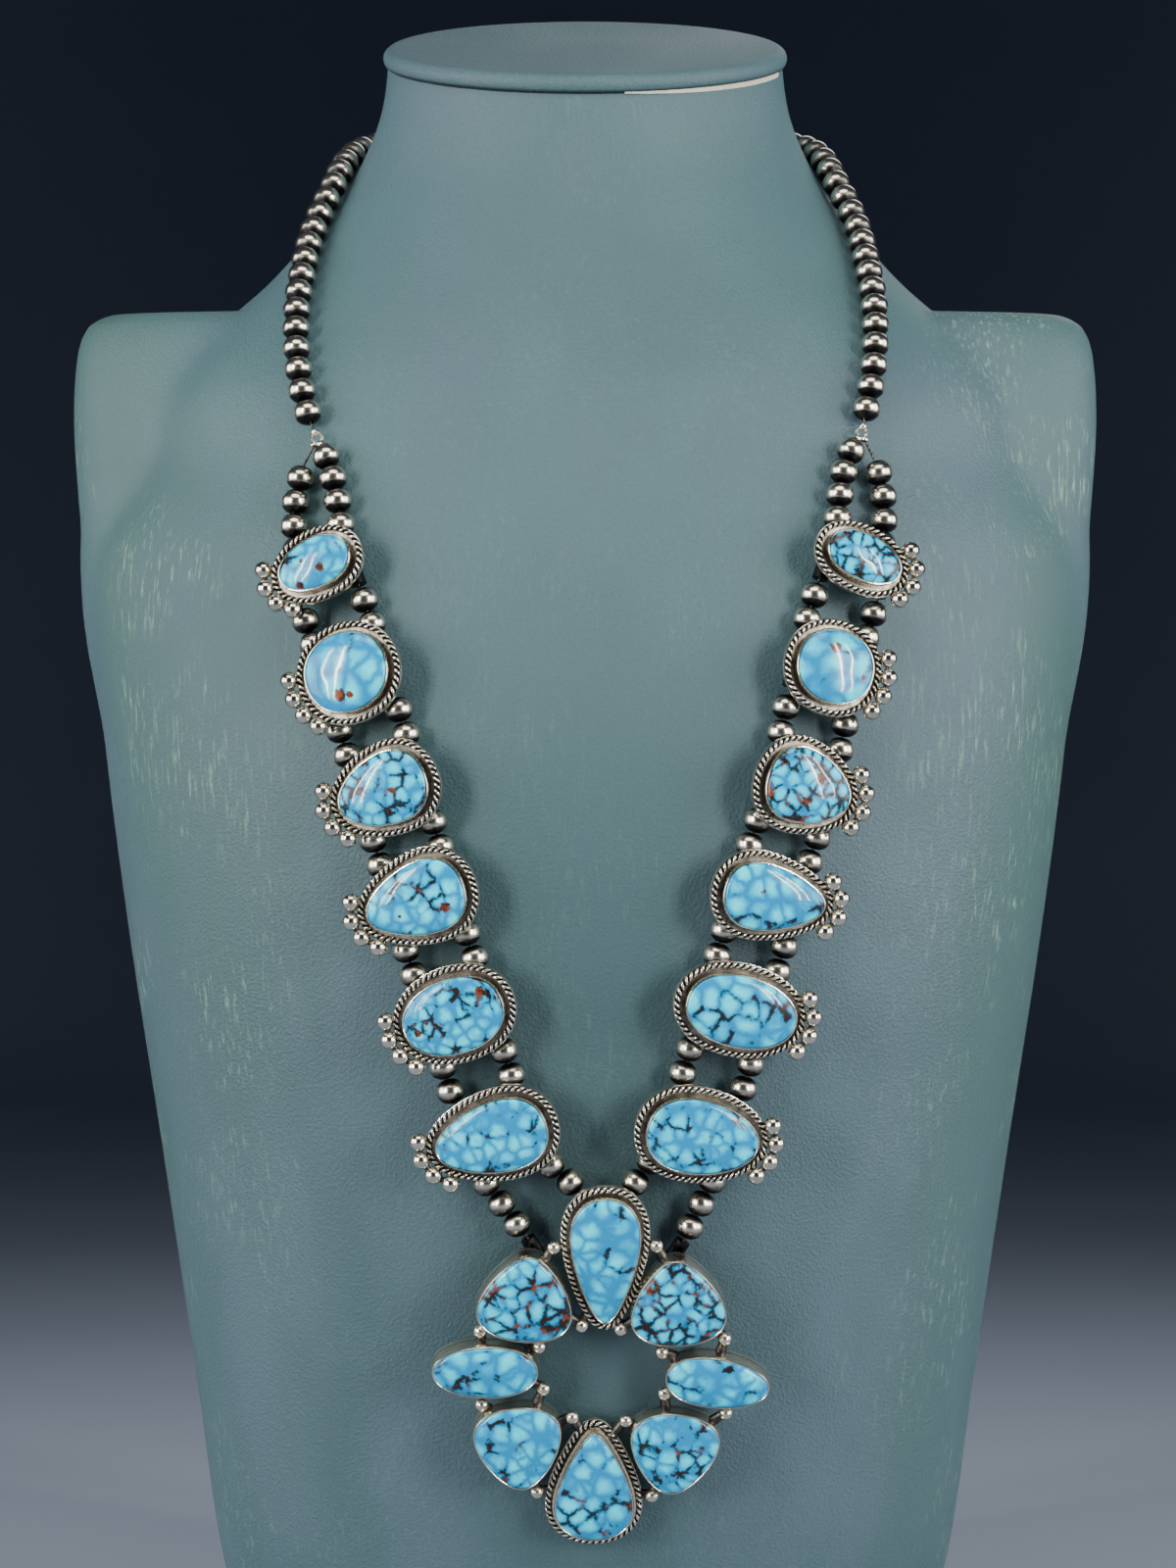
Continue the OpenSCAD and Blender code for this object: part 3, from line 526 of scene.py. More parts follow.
def leatherette(sizes):
    """Blue-grey leatherette: a pebbled grain, cloudy colour, painted light that makes it lighter above and
    darker towards the bottom, and pale streaks rubbed up and down the sides. Where its attribute is 1 it is
    painted dark as shade in a seam, and the lining shows from 1.4 up."""
    t = Tree("leatherette")
    leather = np.array(sizes.leather)
    x, _, z = t.add("SeparateXYZ", {0: t.place}).outputs
    side = t.ramp(t.math("ABSOLUTE", x), 0.060, 0.125, 0.10, 1.0)
    cloud = t.noise(14, 2, 0.6)
    # Painted light and shade: lighter above, darker towards the bottom
    base = t.mix(t.ramp(z, 0.16, 0.33), 0.78 * leather, 1.16 * leather)
    base = t.mix(t.ramp(cloud, 0.35, 0.68, 0.0, 0.45), base, 0.74 * leather)
    drift = t.noise(1, 3, 0.6, t.stretched((16, 16, 5)), 6.3)
    base = t.mix(t.ramp(drift, 0.42, 0.66, 0.0, 0.80), base, leather * (1.18, 0.98, 1.08))
    warm = t.times(side, t.ramp(drift, 0.60, 0.36, 0.15, 0.75))
    base = t.mix(warm, base, leather * (0.95, 0.98, 0.80))
    streaks = t.ramp(t.noise(1, 4, 0.65, t.stretched((900, 900, 120))), 0.52, 0.70)
    patches = t.ramp(t.noise(26, 4, 0.65, shift=3.1), 0.43, 0.62)
    base = t.mix(t.times(t.times(streaks, patches), t.times(side, 0.85)), base, sizes.rubbed)
    seam = t.tarnish()
    # Painted shade under the cap's rim, in the seam, darkest where the attribute is 1
    base = t.mix(t.ramp(seam, 0.0, 1.0), base, 0.12 * leather)
    base = t.mix(t.ramp(seam, 1.4, 1.8), base, sizes.lining)
    fine = t.noise(1400, 1, 0.6)
    base = t.mix(t.ramp(fine, 0.3, 0.7, 0.0, 0.22), base, 0.62 * leather)
    grain = t.plus(t.times(t.cells(t.place, 1250, "F1"), 0.6), t.times(fine, 0.5))
    t.set(Base_Color=base, Roughness=t.ramp(cloud, 0.3, 0.7, 0.50, 0.62), Specular_IOR_Level=0.34,
          Normal=t.bump(grain, 0.24 * MM, 0.8))
    return t.material


def silver(name, sizes, smooth, rough):
    """Silver that is bright where it is rubbed and dark where its attribute of oxide and painted shade is
    high.
    """
    t = Tree(name)
    cloud = t.noise(420, 4, 0.65)
    marks = t.noise(2600, 2, 0.6)
    dark = t.ramp(t.plus(t.tarnish(), t.ramp(cloud, 0.3, 0.75, -0.10, 0.12)), 0.12, 0.92)
    tone = t.mix(t.ramp(t.noise(150, 2), 0.35, 0.65), sizes.silver, 0.86 * np.array(sizes.silver))
    t.set(Base_Color=t.mix(dark, tone, sizes.tarnish), Metallic=1.0,
          Roughness=t.plus(t.ramp(dark, 0.0, 1.0, smooth, rough), t.ramp(marks, 0.3, 0.7, -0.02, 0.03)),
          Normal=t.bump(t.plus(cloud, t.times(marks, 0.3)), 0.02 * MM, 0.6))
    return t.material


def turquoise(name, looks, seed, cell, web, haze, rust, spots):
    """Turquoise: pale clouds in bent cells, deep blue between them, and along the cells' edges
    a dark web that swells into blotches and fades away, with rust where the rock is thick.
    Spots are [place, radius] of rusty host rock."""
    t = Tree(name)
    at = t.vector("ADD", t.place, (seed * 0.37, seed * 0.61, seed * 0.23))
    for scale, reach in ((0.7, 0.50), (2.4, 0.26), (7.0, 0.09)):
        swirl = t.add("TexNoise", {"Vector": at, "Scale": scale / cell, "Detail": 2.0}).outputs["Color"]
        bend = t.vector("SUBTRACT", swirl, (0.5, 0.5, 0.5))
        bend = t.add("VectorMath", {0: bend, 3: cell * reach}, operation="SCALE").outputs[0]
        at = t.vector("ADD", at, bend)
    edge = t.cells(at, 1 / cell, "DISTANCE_TO_EDGE")
    far = t.cells(at, 1 / cell, "F1")
    fine = t.noise(5 / cell, 3, 0.7, at, 2.9)
    swell = t.ramp(t.noise(0.6 / cell, 3, 0.62, at, 1.7), 0.60 - 0.26 * web, 0.76 - 0.20 * web)
    near = t.plus(edge, t.ramp(fine, 0.2, 0.8, -0.06, 0.06))
    near = t.math("SUBTRACT", near, t.ramp(far, 0.45, 0.85, 0.0, 0.07))
    width = t.plus(t.times(swell, 0.045 + 0.065 * web), 0.004)
    core = t.ramp(near, t.times(width, 0.1), t.times(width, 1.15), 1.0, 0.0)
    core = t.times(core, t.ramp(swell, 0.04, 0.40))
    teal = t.ramp(near, t.times(width, 0.3), t.plus(width, 0.13), 1.0, 0.0)
    teal = t.times(teal, t.ramp(swell, 0.0, 0.6, 0.15, 0.75))
    cloud = t.noise(1.7 / cell, 3, 0.6, at, 5.3)
    middle = t.times(t.ramp(far, 0.80, 0.22), t.ramp(edge, -0.03, 0.30))
    blue = t.mix(middle, looks.deep, looks.pale)
    blue = t.mix(t.ramp(cloud, 0.48, 0.75, 0.0, 0.30), blue, looks.deep)
    chalk = t.ramp(cloud, 0.62, 0.34, 0.25 * haze, min(1.0, 1.6 * haze))
    blue = t.mix(t.times(t.ramp(far, 0.50, 0.10), chalk), blue, looks.bright)
    rusty = t.ramp(t.noise(0.9 / cell, 3, 0.6, at, 8.1), 0.74 - 0.22 * rust, 0.80 - 0.20 * rust)
    paint = t.mix(core, t.mix(teal, blue, looks.web), t.mix(rusty, looks.host, looks.rust))
    for place, radius in spots:
        away = t.add("VectorMath", {0: t.place, 1: tuple(place)}, operation="DISTANCE").outputs["Value"]
        lobes = t.ramp(t.noise(2.2 / cell, 4, 0.75, at, 4.4), 0.25, 0.75, -0.45 * radius, 0.45 * radius)
        patch = t.ramp(t.plus(away, lobes), 0.70 * radius, radius, 1.0, 0.0)
        rusty = t.ramp(t.noise(3.0 / cell, 3, 0.7, at, 6.6), 0.40, 0.60)
        paint = t.mix(patch, paint, t.mix(rusty, looks.host, looks.rust))
    pits = t.plus(t.times(core, -0.5), t.times(t.noise(170, 1, 0.4), 0.6))
    t.set(Base_Color=paint, Roughness=t.ramp(core, 0.0, 1.0, 0.14, 0.28), Specular_IOR_Level=0.22,
          Coat_Weight=0.35, Coat_Roughness=0.03, Normal=t.bump(pits, 0.06 * MM, 0.5))
    return t.material


def plain_surface(name, tone, rough):
    """A plain surface with a faint mottle."""
    t = Tree(name)
    t.set(Base_Color=t.mix(t.ramp(t.noise(3, 3), 0.3, 0.7), tone, 0.94 * np.array(tone)), Roughness=rough)
    return t.material


# Pieces

def add_mesh(name, shape, material):
    """Makes a smooth mesh object of a shape and puts it in the scene."""
    mesh = bpy.data.meshes.new(name)
    sizes = np.concatenate([np.full(len(face), face.shape[1]) for face in shape.faces])
    corners = np.concatenate([face.ravel() for face in shape.faces])
    mesh.vertices.add(len(shape.points))
    mesh.vertices.foreach_set("co", shape.points.ravel())
    mesh.loops.add(len(corners))
    mesh.loops.foreach_set("vertex_index", corners)
    mesh.polygons.add(len(sizes))
    mesh.polygons.foreach_set("loop_start", np.cumsum(sizes) - sizes)
    mesh.polygons.foreach_set("use_smooth", np.ones(len(sizes), bool))
    mesh.update(calc_edges=True)
    mesh.validate()
    mesh.materials.append(material)
    obj = bpy.data.objects.new(name, mesh)
    bpy.context.scene.collection.objects.link(obj)
    return obj


def piece(name, shape, material, nodes, sharp=38):
    """Makes a shape's object, smooth up to an edge angle, and stands it in for its nodes."""
    obj = add_mesh(name, shape, material)
    obj.data.set_sharp_from_angle(angle=np.radians(sharp))
    obj.data.attributes.new("tarnish", "FLOAT", "POINT").data.foreach_set("value", shape.tarnish)
    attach(obj, "root")
    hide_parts(*nodes)


# The bust's form

# Sections of the bust: height and width as shares of the bust's and the chest's, how far width
# and depth have turned into the neck's, the middle line's place and the front as shares of the
# depth in front, the rear as a share of the back's, and the outline's exponent
BUST_ROWS = np.array([
    [0.000, 0.690, 0.00, -0.012, 0.487, 1.026, 2.3],
    [0.071, 0.742, 0.00, -0.051, 0.564, 1.026, 2.2],
    [0.162, 0.782, 0.00, -0.089, 0.667, 1.026, 2.1],
    [0.309, 0.851, 0.00, -0.115, 0.846, 1.026, 2.0],
    [0.451, 0.920, 0.00, -0.141, 0.962, 1.000, 2.0],
    [0.570, 0.969, 0.00, -0.141, 1.000, 1.000, 2.0],
    [0.679, 1.000, 0.00, -0.128, 0.923, 1.000, 2.0],
    [0.739, 1.000, 0.15, -0.115, 0.905, 1.000, 2.1],
    [0.784, 1.000, 0.21, -0.089, 0.843, 1.000, 2.3],
    [0.820, 1.000, 0.39, -0.064, 0.840, 1.000, 2.5],
    [0.855, 1.000, 0.60, -0.038, 0.865, 1.000, 2.5],
    [0.888, 1.000, 0.75, -0.012, 0.887, 1.000, 2.3],
    [0.922, 1.000, 0.88, 0.013, 0.926, 0.987, 2.1],
    [0.960, 1.000, 0.97, 0.026, 0.983, 0.974, 2.0],
    [0.998, 1.000, 1.00, 0.039, 1.000, 0.974, 2.0],
    [1.045, 1.000, 1.00, 0.052, 1.000, 0.974, 2.0]])
# Sections of the shoulders: height as a share of theirs, half width and half depth as shares
SHOULDER_ROWS = np.array([
    [0.671, 0.890, 0.30],
    [0.745, 0.950, 0.68],
    [0.813, 0.977, 0.90],
    [0.882, 0.994, 1.00],
    [0.925, 1.000, 1.00],
    [0.967, 0.995, 0.96],
    [0.988, 0.980, 0.90],
    [1.000, 0.950, 0.80]])
# The exponent of the shoulders' outline
SHOULDER_BOX = 3


def through(places, values, at):
    """A smooth run through a table: cubic Hermite pieces whose slopes join the rows either side."""
    lower = np.clip(np.arange(len(places)) - 1, 0, None)
    upper = np.clip(np.arange(len(places)) + 1, None, len(places) - 1)
    slope = (values[upper] - values[lower]) / (places[upper] - places[lower])[:, None]
    i = np.clip(np.searchsorted(places, at, "right") - 1, 0, len(places) - 2)
    h = (places[i + 1] - places[i])[:, None]
    t = np.clip((at - places[i])[:, None] / h, 0, 1)
    return (values[i] * (2 * t**3 - 3 * t**2 + 1) + slope[i] * h * (t**3 - 2 * t**2 + t)
            + values[i + 1] * (3 * t**2 - 2 * t**3) + slope[i + 1] * h * (t**3 - t**2))


def polar(width, depth, power, angle):
    """Radius of a superellipse: (|sin a / w|^n + |cos a / d|^n)^(-1/n)."""
    return (np.abs(np.sin(angle) / width)**power + np.abs(np.cos(angle) / depth)**power)**(-1 / power)


def core_section(s, z):
    """The bust's half width, middle line, front, rear and exponent at each height."""
    rows = BUST_ROWS.T
    width = (s.chest_width * (1 - rows[2]) + s.neck_width * rows[2]) / 2 * rows[1]
    front = (s.chest_depth * (1 - rows[2]) + s.neck_depth / 2 * rows[2]) * rows[4]
    table = np.stack([width, rows[3] * s.chest_depth, front, rows[5] * s.back_depth, rows[6]], -1)
    return through(rows[0] * s.height, table, z)


def core_radius(section, angle):
    """The chest's and neck's radius at each angle from the front."""
    depth = np.where(np.cos(angle) > 0, section[:, 2:3], section[:, 3:4])
    return polar(section[:, 0:1], depth, section[:, 4:5], angle)


def core_at(s, angle, z):
    """The chest's and neck's radius and middle line for a height at each point."""
    section = core_section(s, z.ravel())
    wide = np.broadcast_to(angle, z.shape).reshape(-1, 1)
    return core_radius(section, wide).reshape(z.shape), section[:, 1].reshape(z.shape)


def neck_end(s):
    """The neck's section at the middle of the cap's seam."""
    return core_section(s, np.array([s.height]))


def placed(radius, middle, angle, z):
    """Points at a radius and an angle from the front, round the middle line."""
    return np.stack([radius * np.sin(angle), middle - radius * np.cos(angle), z], -1)


def soft_max(a, b, width):
    """The larger of two values, rounded over where they are nearly equal."""
    h = np.clip(width - np.abs(a - b), 0, None) / width
    return np.maximum(a, b) + h * h * width / 4


def bust_rings(s):
    """Rings of the bust: the larger of chest and shoulders up to the shoulders' top, their rounded
    edge, the flat top in to the neck, and the neck up to its tilted end."""
    angle = turns(BUST_COLUMNS)
    angle = (angle + np.radians(9) * np.sin(2 * angle))[None]
    top = s.shoulder_height
    edge = s.shoulder_round
    walls = np.concatenate([[0, 0.5 * MM, 1.2 * MM, 2.2 * MM], np.linspace(4 * MM, top - edge, 110)])
    curve = np.linspace(0, np.pi / 2, 9)[1:]
    inward = np.linspace(0, 1, 26)[1:]
    flat = len(inward)
    z = np.concatenate([walls, top - edge + edge * np.sin(curve), top + 0.8 * MM * inward])
    sizes = SHOULDER_ROWS[:, 1:] * [s.shoulder_width / 2, s.shoulder_depth / 2]
    shoulder = through(SHOULDER_ROWS[:, 0] * top, sizes, np.minimum(z, top))
    reach = polar(shoulder[:, 0:1], shoulder[:, 1:2], SHOULDER_BOX, angle)
    reach = np.where(z[:, None] < SHOULDER_ROWS[0, 0] * top, 0, reach)
    rounding = np.concatenate([np.zeros(len(walls)), edge * (1 - np.cos(curve)), np.full(flat, edge)])
    reach = reach - rounding[:, None]
    reach[-flat:] *= (1 - 0.75 * inward**0.8)[:, None]
    core = core_radius(core_section(s, z), angle)
    lift = 1.6 * MM * np.clip(1 - (soft_max(core, reach, s.crease) - core) / (9 * MM), 0, 1)**2
    lift[:-flat] = 0
    lift[-flat:] *= inward[:, None]
    high = z[:, None] + lift
    core, middle = core_at(s, angle, high)
    base = 1.5 * MM * (1 - np.sqrt(np.clip(1 - (1 - z / (1.5 * MM)).clip(0)**2, 0, None)))
    rings = placed(soft_max(core, reach, s.crease) - base[:, None], middle, angle, high)
    return np.concatenate([rings, neck_rings(s, angle, z[-1] + 1.6 * MM)])


def neck_rings(s, angle, start):
    """The neck from its foot to its end, which lies in the cap's tilted plane."""
    flat = np.linspace(start + 2.2 * MM, 0.962 * s.height, 40)
    tilted = np.linspace(0, 1, 13)[1:]
    share_up = np.concatenate([np.zeros(len(flat)), tilted])[:, None]
    level = np.concatenate([flat, np.full(len(tilted), flat[-1])])[:, None]
    slant = s.height - core_radius(neck_end(s), angle) * np.cos(angle) * np.tan(s.neck_tilt)
    z = level * (1 - share_up) + slant * share_up
    radius, middle = core_at(s, angle, z)
    return placed(radius, middle, angle, z)


def cap_seat(s):
    """The cap's own plane as a seat: its origin lies at the foot of the cap's rim, and its loop is
    the neck's outline there. Heights and radii are worked out in turn until they agree."""
    end = neck_end(s)[0]
    lean = s.neck_tilt
    axes = np.array([[1, 0, 0], [0, np.cos(lean), np.sin(lean)], [0, -np.sin(lean), np.cos(lean)]])
    shift = (end[3] - end[2]) / 2
    top = np.array([0, end[1] + shift, s.height + shift * np.tan(lean)])
    angle = turns(CAP_COLUMNS)[None]
    z = np.full(angle.shape, s.height)
    for _ in range(6):
        radius, middle = core_at(s, angle, z)
        y = middle - radius * np.cos(angle)
        z = s.height + (y - end[1]) * np.tan(lean) - s.cap_drop / np.cos(lean)
    loop = (placed(radius, middle, angle, z)[0] - top) @ axes.T
    return Seat(top - s.cap_drop * axes[2], axes, loop[:, :2], 0)


def cap_shape(seat, s):
    """The cap: a rounded rim that stands out past the neck by overhang - r * (1 - cos a), and a
    low dome. The rim's foot and underside, in the seam, are painted dark: painted shade under the rim."""
    curl = np.radians(np.linspace(-90, 90, 19))
    rings = [seat.out(0.8 * seat.loop, 0)]
    for a in curl:
        edge = grown(seat.loop, s.cap_overhang - 2.8 * MM * (1 - np.cos(a)))
        rings.append(seat.out(edge, s.cap_thickness * (0.5 + 0.5 * np.sin(a))))
    inside = np.linspace(0, 1, 24)[1:]
    for share_in in inside:
        dome = 0.45 * MM * (1 - (1 - share_in)**2.2)
        rings.append(seat.out(edge * (1 - 0.93 * share_in), s.cap_thickness + dome))
    # Painted shade: the bottom face and the rim's underside are painted dark
    dark = np.concatenate([[1], ease(np.radians(-14), np.radians(-46), curl), np.zeros(len(inside))])
    return skin(rings, dark[:, None])


def lining_strip(seat):
    """A strip of lining that shows in the seam on one side: a band along part of the neck's
    outline, thin at one end."""
    inner, outer = (grown(seat.loop, by * MM)[LINING_COLUMNS, None] for by in (-0.3, 0.45))
    drop = 0.9 * MM * np.sin(np.linspace(0, 2, len(inner)))[:, None]
    height = 0.9 * MM - (0.4 * MM + drop) * np.array([0, 0, 1, 1])
    return skin(seat.out(np.concatenate([inner, outer, outer, inner], 1), height[..., None]), 2.0)


# Beads and what they hang on

def beads_of(node):
    """Each bead's middle and the way of its hole, which lies along the axis whose spread differs
    most from the two others', because those are equal."""
    found = []
    for solid in loose_solids(node):
        spread, ways = spread_of(solid)
        odd = 0 if spread[1] - spread[0] > spread[2] - spread[1] else 2
        found.append((solid.mean(0), ways[:, odd]))
    return found


def in_order(beads, start):
    """Beads sorted from the one nearest to start, each next one the nearest that is left."""
    left = list(beads)
    line = []
    at = start
    while left:
        nearest = min(range(len(left)), key=lambda k: np.linalg.norm(left[k][0] - at))
        middle, way = left.pop(nearest)
        line.append((middle, way if way @ (middle - at) > 0 else -way))
        at = middle
    return line


def bead_shape(middle, way, sizes, seed):
    """One bead: a half circle turned round the hole, whose ends and hole are dark with oxide. The dark
    reaches up from both ends with an uneven edge. Its lower side, by the world's down, is painted darker as
    well: painted shade."""
    bulge = sizes.length / 2
    stand = sizes.radius - bulge
    tip = np.arccos((sizes.hole - stand) / bulge)
    swing = np.linspace(-tip, tip, BEAD_ROWS)
    profile = np.stack([stand + bulge * np.cos(swing), bulge * np.sin(swing)], -1)
    bore = profile[[-1, 0]] * [0.98, 0.9]
    rings = lathe(np.vstack([profile, bore]), middle, way, BEAD_COLUMNS)
    outside = rings[:BEAD_ROWS]
    ends = np.abs(np.sin(swing))[:, None] + 0.05 * ripple(outside, 1.6 * MM, seed)
    # Painted shade: the bead's lower side, by the world's down, is painted darker
    low = (middle - outside)[..., 2] / sizes.radius
    dark = sizes.patina_and_shade * np.clip(ease(0.30, 0.82, ends) + 0.75 * ease(-0.02, 0.50, low), 0, 1)
    return skin(rings, np.vstack([dark, np.ones((2, BEAD_COLUMNS))]), closed=True)


def string_path(line, start, end, half):
    """The chain's path: from its start through both ends of each bead to its end."""
    ends = [middle + sign * half * way for middle, way in line for sign in (-1, 1)]
    return np.array([start] + ends + [end])


def chain_shape(path, radius):
    """The chain: two fine strands that wind round each other."""
    step, pitch = 0.42 * MM, 2.4 * MM
    fine, run = even_steps(path, int(run_along(path)[-1] / step), False)
    ahead = unit(np.gradient(fine, axis=0))
    across = unit(np.cross(ahead, unit(fine * [1, 1, 0])))
    phase = 2 * np.pi * np.linspace(0, run / pitch, len(fine))[:, None]
    return strands(fine, phase, np.cross(across, ahead), across, 0.42 * radius, 0.56 * radius, 5, 0.75)


# Silver round a stone

def swept(seat, rows, closed=False):
    """A stone's outline moved outwards and lifted, row by row: [outwards, height, tarnish]."""
    edge = smooth_loop(seat.loop, OUTLINE_POINTS)
    rings = [seat.out(grown(edge, out), height) for out, height, _ in rows]
    return skin(rings, np.array(rows)[:, 2:], closed)


def bezel_shape(seat, s, collar=0.0):
    """A bezel's wall: up from the plate, over a rounded rim that is pressed on to the stone, and
    down inside. Its foot is dark. A collar is a second, lower wall round it."""
    outer = s.stone_gap + s.wall
    rim = seat.rim
    foot = s.plate - 0.1 * MM
    rise = rim - foot
    wall = [(outer, foot, 0.70), (outer, foot + 0.25 * rise, 0.34), (outer, foot + 0.5 * rise, 0.20),
            (outer, foot + 0.75 * rise, 0.18), (outer - 0.02 * MM, rim - 0.35 * MM, 0.1),
            (outer - 0.10 * MM, rim + 0.02 * MM, 0.0), (outer - 0.24 * MM, rim + 0.22 * MM, 0.0),
            (outer - 0.42 * MM, rim + 0.26 * MM, 0.0), (outer - 0.58 * MM, rim + 0.16 * MM, 0.35),
            (s.stone_gap, rim - 0.5 * MM, 0.9), (s.stone_gap, foot, 1.0)]
    if not collar:
        return swept(seat, wall, closed=True)
    step = foot + 0.62 * rise
    band = [(outer - 0.1 * MM, foot, 0.9), (outer + collar, foot, 0.8),
            (outer + collar, foot + 0.55 * rise, 0.2), (outer + 0.8 * collar, step, 0.05),
            (outer - 0.1 * MM, step, 0.5)]
    return joined([swept(seat, rows, closed=True) for rows in (wall, band)])


def plate_shape(seat, s, reach):
    """A back plate: the stone's outline grown by reach, with rounded edges and a dark face."""
    soft = 0.28 * MM
    return swept(seat, [
        (reach - soft, 0, 0.6), (reach, soft, 0.3), (reach, s.plate - soft, 0.15),
        (reach - 0.3 * soft, s.plate - 0.3 * soft, 0.3), (reach - soft, s.plate, 0.55),
        (reach - 0.8 * MM, s.plate, 0.68)])


def rope_shape(seat, s, reach):
    """A rope of two strands: each runs round the rope's middle at angle a = 2 pi * turns * share,
    at (cos a * outwards + sin a * up). It is dark where the strands meet."""
    _, run = even_steps(grown(smooth_loop(seat.loop, 240), reach), 2)
    count = int(round(run / (2 * s.rope_pitch)))
    steps = count * ROPE_STEPS
    middle, _ = even_steps(grown(smooth_loop(seat.loop, 480), reach), steps)
    side = seat.out(outwards(middle), 0) - seat.origin
    path = seat.out(middle, s.plate + 0.62 * s.rope)
    phase = 2 * np.pi * count * np.arange(steps)[:, None] / steps
    dark = ease(1.0, 0.2, np.cos(turns(10)))[None]
    return strands(path, phase, side, seat.axes[2], 0.52 * s.rope, 0.47 * s.rope, 10, dark, closed=True)


def below_plate(node, seat):
    """What the solid holds under the plate's back: its tubes and their webs, painted dark all over: painted
    shade under the plate.
    """
    points, triangles = merged(*solid_of(node))
    height = (points - seat.origin) @ seat.axes[2]
    low = (height[triangles] < 0.02 * MM).all(1) & (height[triangles].min(1) < -0.02 * MM)
    used, which = np.unique(triangles[low], return_inverse=True)
    # Painted shade: the tubes and webs are painted nearly black
    return Shape(points[used], [which.reshape(-1, 3)], 0.9)


# The middle of each station's row of balls, as an angle round its outer end
BALL_ROWS = {"left": (-10, -15, -4, -7, -10, -12), "right": (5, -4, 6, 1, 2, -4)}


def station_balls(seat, s, side, middle):
    """Four balls at equal steps round the station's outer end, against the rope, each with a
    foot of solder between it and the rope. The feet and the rods between the balls are painted dark: painted
    shade in the gaps under the balls."""
    turn = 180 - middle if side == "left" else middle
    half = 360
    loop = np.roll(smooth_loop(seat.loop, 2 * half), half - int(round(turn * half / 180)), 0)
    line = grown(loop, s.rope_out + s.rope_solid + s.ball - s.ball_sink)
    run = run_along(line)
    spots = at_run(line, run, run[half] + (np.arange(4) - 1.5) * s.ball_pitch)
    centres = seat.out(spots, s.ball + s.ball_room)
    low = 0.9 * s.plate
    ring = seat.out(grown(loop, s.rope_out), low)
    shapes = [ball(c, s.ball, seat.axes[2]) for c in centres]
    # Rods between the balls, painted dark: painted shade between them
    shapes += [rod(a, b, 0.36 * s.ball * np.array([1.2, 1, 0.9, 1, 1.2]), 0.85)
               for a, b in zip(centres, centres[1:])]
    # Feet of solder, painted dark: painted shade in the gap under each ball
    for c, foot in zip(centres, seat.out(spots, low)):
        near = ring[np.linalg.norm(ring - foot, axis=1).argmin()]
        shapes.append(rod(0.5 * (c + foot), near, 0.45 * s.ball * np.ones(3), 0.9))
    return joined(shapes)


def stone_shape(seat, s, seed):
    """A cabochon: the outline shrunk by r, at a height of dome * sqrt(1 - r^n) over the bezel."""
    edge = smooth_loop(seat.loop, STONE_COLUMNS)
    share_out = np.cos(np.linspace(0, 1, 22)[1:] * np.pi / 2 * 0.985)
    lift = s.dome * np.sqrt(np.clip(1 - share_out**2.5, 0, None))
    rings = [seat.out(edge, s.floor), seat.out(edge, seat.rim)]
    rings = np.array(rings + [seat.out(edge * r, seat.rim + h) for r, h in zip(share_out, lift)])
    rings[2:] += seat.axes[2] * 0.035 * MM * ripple(rings[2:], 6 * MM, seed)[..., None]
    return skin(rings)


# The pendant's ball joints: place as shares of its width and height, and the two cups that
# the wires run to, counted clockwise from the top one
NAJA_JOINTS = [
    [-0.142, 0.318, 8, 1], [0.158, 0.322, 1, 2], [-0.059, 0.099, 8, 1], [0.055, 0.089, 1, 2],
    [0.362, 0.062, 2, 3], [0.177, 0.024, 2, 3], [0.368, -0.149, 3, 4], [0.186, -0.093, 3, 4],
    [0.152, -0.385, 4, 5], [0.073, -0.170, 4, 5], [-0.189, -0.373, 5, 6], [-0.086, -0.160, 5, 6],
    [-0.353, -0.124, 6, 7], [-0.171, -0.079, 6, 7], [-0.357, 0.084, 7, 8], [-0.183, 0.040, 7, 8]]
# The top cup's place in the pendant, as shares of its width and height
TOP_CUP = (0.009, 0.286)


def naja_seats(s):
    """The seats of the pendant's stones, and the pendant's own frame as a seat."""
    seats = {i: seat_of(f"naja_stone_{i}", s.floor, (0, 0, -1)) for i in NAJA_STONES}
    top = seats[1]
    y = -top.axes[0]
    x = np.cross(y, top.axes[2])
    origin = top.origin - TOP_CUP[0] * s.naja_width * x - TOP_CUP[1] * s.naja_height * y
    return seats, Seat(origin, np.stack([x, y, top.axes[2]]), None, None)


def joint_shape(joint, pendant, seats, s):
    """A ball, and under it a thick wire to each of its two cups, wider at both ends. The wires are painted
    dark: painted shade in the gap between the ball and the cups.
    """
    spot = np.array([[joint[0] * s.naja_width, joint[1] * s.naja_height]])
    low = s.plate * 0.9
    foot = pendant.out(spot, low)[0]
    shapes = [ball(pendant.out(spot, s.naja_ball + s.ball_room)[0], s.naja_ball, pendant.axes[2])]
    for seat in (seats[cup] for cup in joint[2:]):
        loop = seat.out(grown(smooth_loop(seat.loop, 180), 0.2 * MM), low)
        aim = 0.75 * foot + 0.25 * (seat.origin + low * seat.axes[2])
        near = loop[np.linalg.norm(loop - aim, axis=1).argmin()]
        # Painted shade: the wire is painted dark
        shapes.append(rod(foot, near, np.array([1.5, 1.3, 1.25, 1.35, 1.5]) * MM, 0.8))
    return joined(shapes)


# The operators, one for each piece or group of like pieces

class PieceOperator:
    """What the operators share: each is a step that can be undone."""
    bl_options = {"REGISTER", "UNDO"}


class NECKLACE_OT_bust(PieceOperator, bpy.types.Operator):
    """Makes the bust and its cap"""
    bl_idname = "necklace.bust"
    bl_label = "Neck bust"

    def execute(self, context):
        sizes = context.scene.necklace_bust
        material = leatherette(sizes)
        seat = cap_seat(sizes)
        cap = joined([cap_shape(seat, sizes), lining_strip(seat)])
        piece("bust", skin(bust_rings(sizes)), material, ["neck_bust"], sharp=60)
        piece("cap", cap, material, ["bust_cap"], sharp=60)
        return {"FINISHED"}


